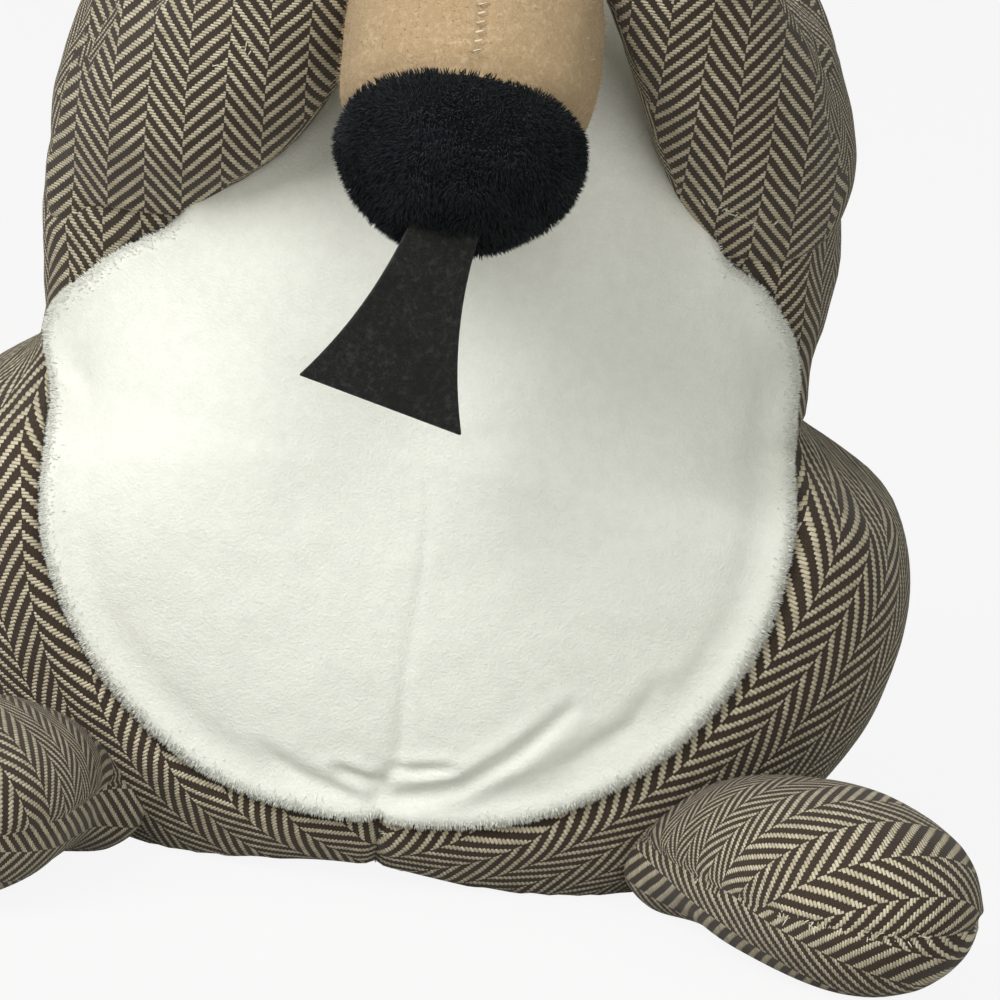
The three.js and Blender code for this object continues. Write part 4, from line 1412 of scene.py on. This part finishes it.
class SQUIRREL_OT_edges(bpy.types.Operator):
    """Make the raised pile along the tummy's seam and the loose threads"""

    bl_idname = "squirrel.edges"
    bl_label = "Seam pile and threads"

    def execute(self, context):
        tummy = bpy.data.objects["tummy_plush"]

        def rim(places):
            inside, angle = edge_distance(places)
            front = places[:, 1] < 0
            return front * bell(inside - 1.6, 1.5) * (1.05 - smooth_step(angle, 10, 60)) + 1e-9

        roots, normals = scatter(tummy, RIM_FIBRES, 61, rim)
        random = np.random.default_rng(62)
        outward = roots - np.array([0, roots[:, 1].mean(), TUMMY_HEIGHT])
        outward[:, 1] = 0
        outward /= np.linalg.norm(outward, axis=1, keepdims=True)
        ways = 0.7 * normals + 0.8 * outward + random.normal(0, 0.22, roots.shape)
        lengths = random.uniform(0.5, 1.15, len(roots))
        fibres = pile("tummy_rim_pile", roots, ways, lengths, 0.2, np.zeros(3), 63)
        dress(fibres, "cream_pile")
        for number, (name, path, count, width) in enumerate(LOOSE_THREADS):
            make_threads(name, path, count, width, FIRST_THREAD_SEED + number)
        return {"FINISHED"}


class SQUIRREL_OT_inside(bpy.types.Operator):
    """Give the filling, the sand bag and the washers their finishes"""

    bl_idname = "squirrel.inside"
    bl_label = "Inside"

    def execute(self, context):
        for name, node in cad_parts.items():
            if "stuffing" in name and not name.startswith(("arm", "foot", "tail")):
                paint(node, "stuffing")
            elif name == "weight_bag":
                paint(node, "sand")
            elif "washer" in name:
                paint(node, "washer")
        return {"FINISHED"}


# Stage

# Lamps: name, place and width in metres, and power in watts
LAMPS = (
    ("key", (-0.85, -1.05, 1.1), 1.0, 22),
    ("fill", (0.35, -1.5, 0.7), 1.0, 9.5),
)
LAMP_AIM = (0, -0.03, 0.10)
ROOM_COLOUR = (0.97, 1.0, 0.84, 1)
ROOM_STRENGTH = 0.22
FLOOR_COLOUR = (0.48, 0.48, 0.46)
FLOOR_WIDTH = 6
FLOOR_DROP = 0.0002
FLOOR_GLOW = 0.9


def make_camera(scene):
    """A camera where the photograph was taken from."""
    camera = bpy.data.cameras.new("camera")
    camera.sensor_width = SENSOR_WIDTH
    camera.lens = FOCAL_PIXELS / FRAME_PIXELS * SENSOR_WIDTH
    camera.shift_x = (FRAME_PIXELS / 2 - AXIS_PIXEL[0]) / FRAME_PIXELS
    camera.shift_y = (AXIS_PIXEL[1] - FRAME_PIXELS / 2) / FRAME_PIXELS
    camera.clip_start, camera.clip_end = 0.05, 20
    holder = bpy.data.objects.new("camera", camera)
    scene.collection.objects.link(holder)
    level = Matrix.Rotation(math.radians(90 - CAMERA_FALL), 4, "X")
    roll = Matrix.Rotation(math.radians(CAMERA_ROLL), 4, "Z")
    holder.matrix_world = Matrix.Translation(Vector(CAMERA_PLACE) * MM) @ level @ roll
    scene.camera = holder


def soft_lamp(scene, name, place, width, power):
    """A round lamp that looks at the squirrel's middle."""
    data = bpy.data.lights.new(name, "AREA")
    data.shape = "DISK"
    data.size = width
    data.energy = power
    lamp = bpy.data.objects.new(name, data)
    scene.collection.objects.link(lamp)
    lamp.location = place
    lamp.rotation_euler = (Vector(LAMP_AIM) - Vector(place)).to_track_quat("-Z", "Y").to_euler()


def seen_straight(tree):
    """1 where the camera, a gloss or clear material looks straight at the backdrop."""
    path = tree.nodes.new("ShaderNodeLightPath")
    total = path.outputs["Is Camera Ray"]
    for name in ("Is Glossy Ray", "Is Transmission Ray"):
        add = tree.nodes.new("ShaderNodeMath")
        add.operation = "MAXIMUM"
        tree.links.new(total, add.inputs[0])
        tree.links.new(path.outputs[name], add.inputs[1])
        total = add.outputs[0]
    return total


def make_room(scene):
    """A dim room that lights the squirrel, and a white background for the camera."""
    world = bpy.data.worlds.new("soft_room")
    scene.world = world
    world.use_nodes = True
    tree = world.node_tree
    room = tree.nodes["Background"]
    room.inputs["Color"].default_value = ROOM_COLOUR
    room.inputs["Strength"].default_value = ROOM_STRENGTH
    white = tree.nodes.new("ShaderNodeBackground")
    white.inputs["Strength"].default_value = 1.0
    mix = tree.nodes.new("ShaderNodeMixShader")
    tree.links.new(seen_straight(tree), mix.inputs[0])
    tree.links.new(room.outputs[0], mix.inputs[1])
    tree.links.new(white.outputs[0], mix.inputs[2])
    tree.links.new(mix.outputs[0], tree.nodes["World Output"].inputs[0])


def make_floor():
    """A pale floor that nearly fades into the white background."""
    only(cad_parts["base_panel"])
    bpy.ops.mesh.primitive_plane_add(size=FLOOR_WIDTH, location=(0, 0, -FLOOR_DROP))
    floor = bpy.context.active_object
    floor.name = "floor"
    n = Nodes("pale_floor")
    n.set("Base Color", FLOOR_COLOUR)
    n.set("Roughness", 0.9)
    glow = n.add("ShaderNodeEmission")
    share = n.math("MULTIPLY", seen_straight(n.tree), FLOOR_GLOW)
    blend = n.add("ShaderNodeMixShader", inputs={0: share, 1: n.shader.outputs[0], 2: glow})
    n.tree.links.new(blend, n.tree.nodes["Material Output"].inputs[0])
    floor.data.materials.append(n.material)


class SQUIRREL_OT_stage(bpy.types.Operator):
    """Make the camera, the lamps, the pale floor and the white background"""

    bl_idname = "squirrel.stage"
    bl_label = "Stage"

    def execute(self, context):
        scene = context.scene
        make_camera(scene)
        for lamp in LAMPS:
            soft_lamp(scene, *lamp)
        make_room(scene)
        make_floor()
        scene.view_settings.view_transform = "Standard"
        return {"FINISHED"}


class SQUIRREL_PT_panel(bpy.types.Panel):
    """Lists the settings and the steps in the sidebar"""

    bl_label = "Door stop"
    bl_idname = "SQUIRREL_PT_panel"
    bl_space_type = "VIEW_3D"
    bl_region_type = "UI"
    bl_category = "Door stop"

    def draw(self, context):
        for group in ("squirrel_tweed", "squirrel_plush", "squirrel_felt"):
            settings = getattr(context.scene, group)
            for name in settings.__annotations__:
                self.layout.prop(settings, name)
        for step in STEPS:
            self.layout.operator(step.bl_idname)


STEPS = (
    SQUIRREL_OT_stage,
    SQUIRREL_OT_body,
    SQUIRREL_OT_limbs,
    SQUIRREL_OT_head,
    SQUIRREL_OT_acorn,
    SQUIRREL_OT_tail,
    SQUIRREL_OT_edges,
    SQUIRREL_OT_inside,
)
CLASSES = (TweedSettings, PlushSettings, FeltSettings, *STEPS, SQUIRREL_PT_panel)


def register():
    for made in CLASSES:
        bpy.utils.register_class(made)
    bpy.types.Scene.squirrel_tweed = PointerProperty(type=TweedSettings)
    bpy.types.Scene.squirrel_plush = PointerProperty(type=PlushSettings)
    bpy.types.Scene.squirrel_felt = PointerProperty(type=FeltSettings)


def unregister():
    del bpy.types.Scene.squirrel_felt
    del bpy.types.Scene.squirrel_plush
    del bpy.types.Scene.squirrel_tweed
    for made in reversed(CLASSES):
        bpy.utils.unregister_class(made)


def main():
    register()
    bpy.ops.squirrel.stage()
    bpy.ops.squirrel.body()
    bpy.ops.squirrel.limbs()
    bpy.ops.squirrel.head()
    bpy.ops.squirrel.acorn()
    bpy.ops.squirrel.tail()
    bpy.ops.squirrel.edges()
    bpy.ops.squirrel.inside()


if __name__ == "__main__":
    main()
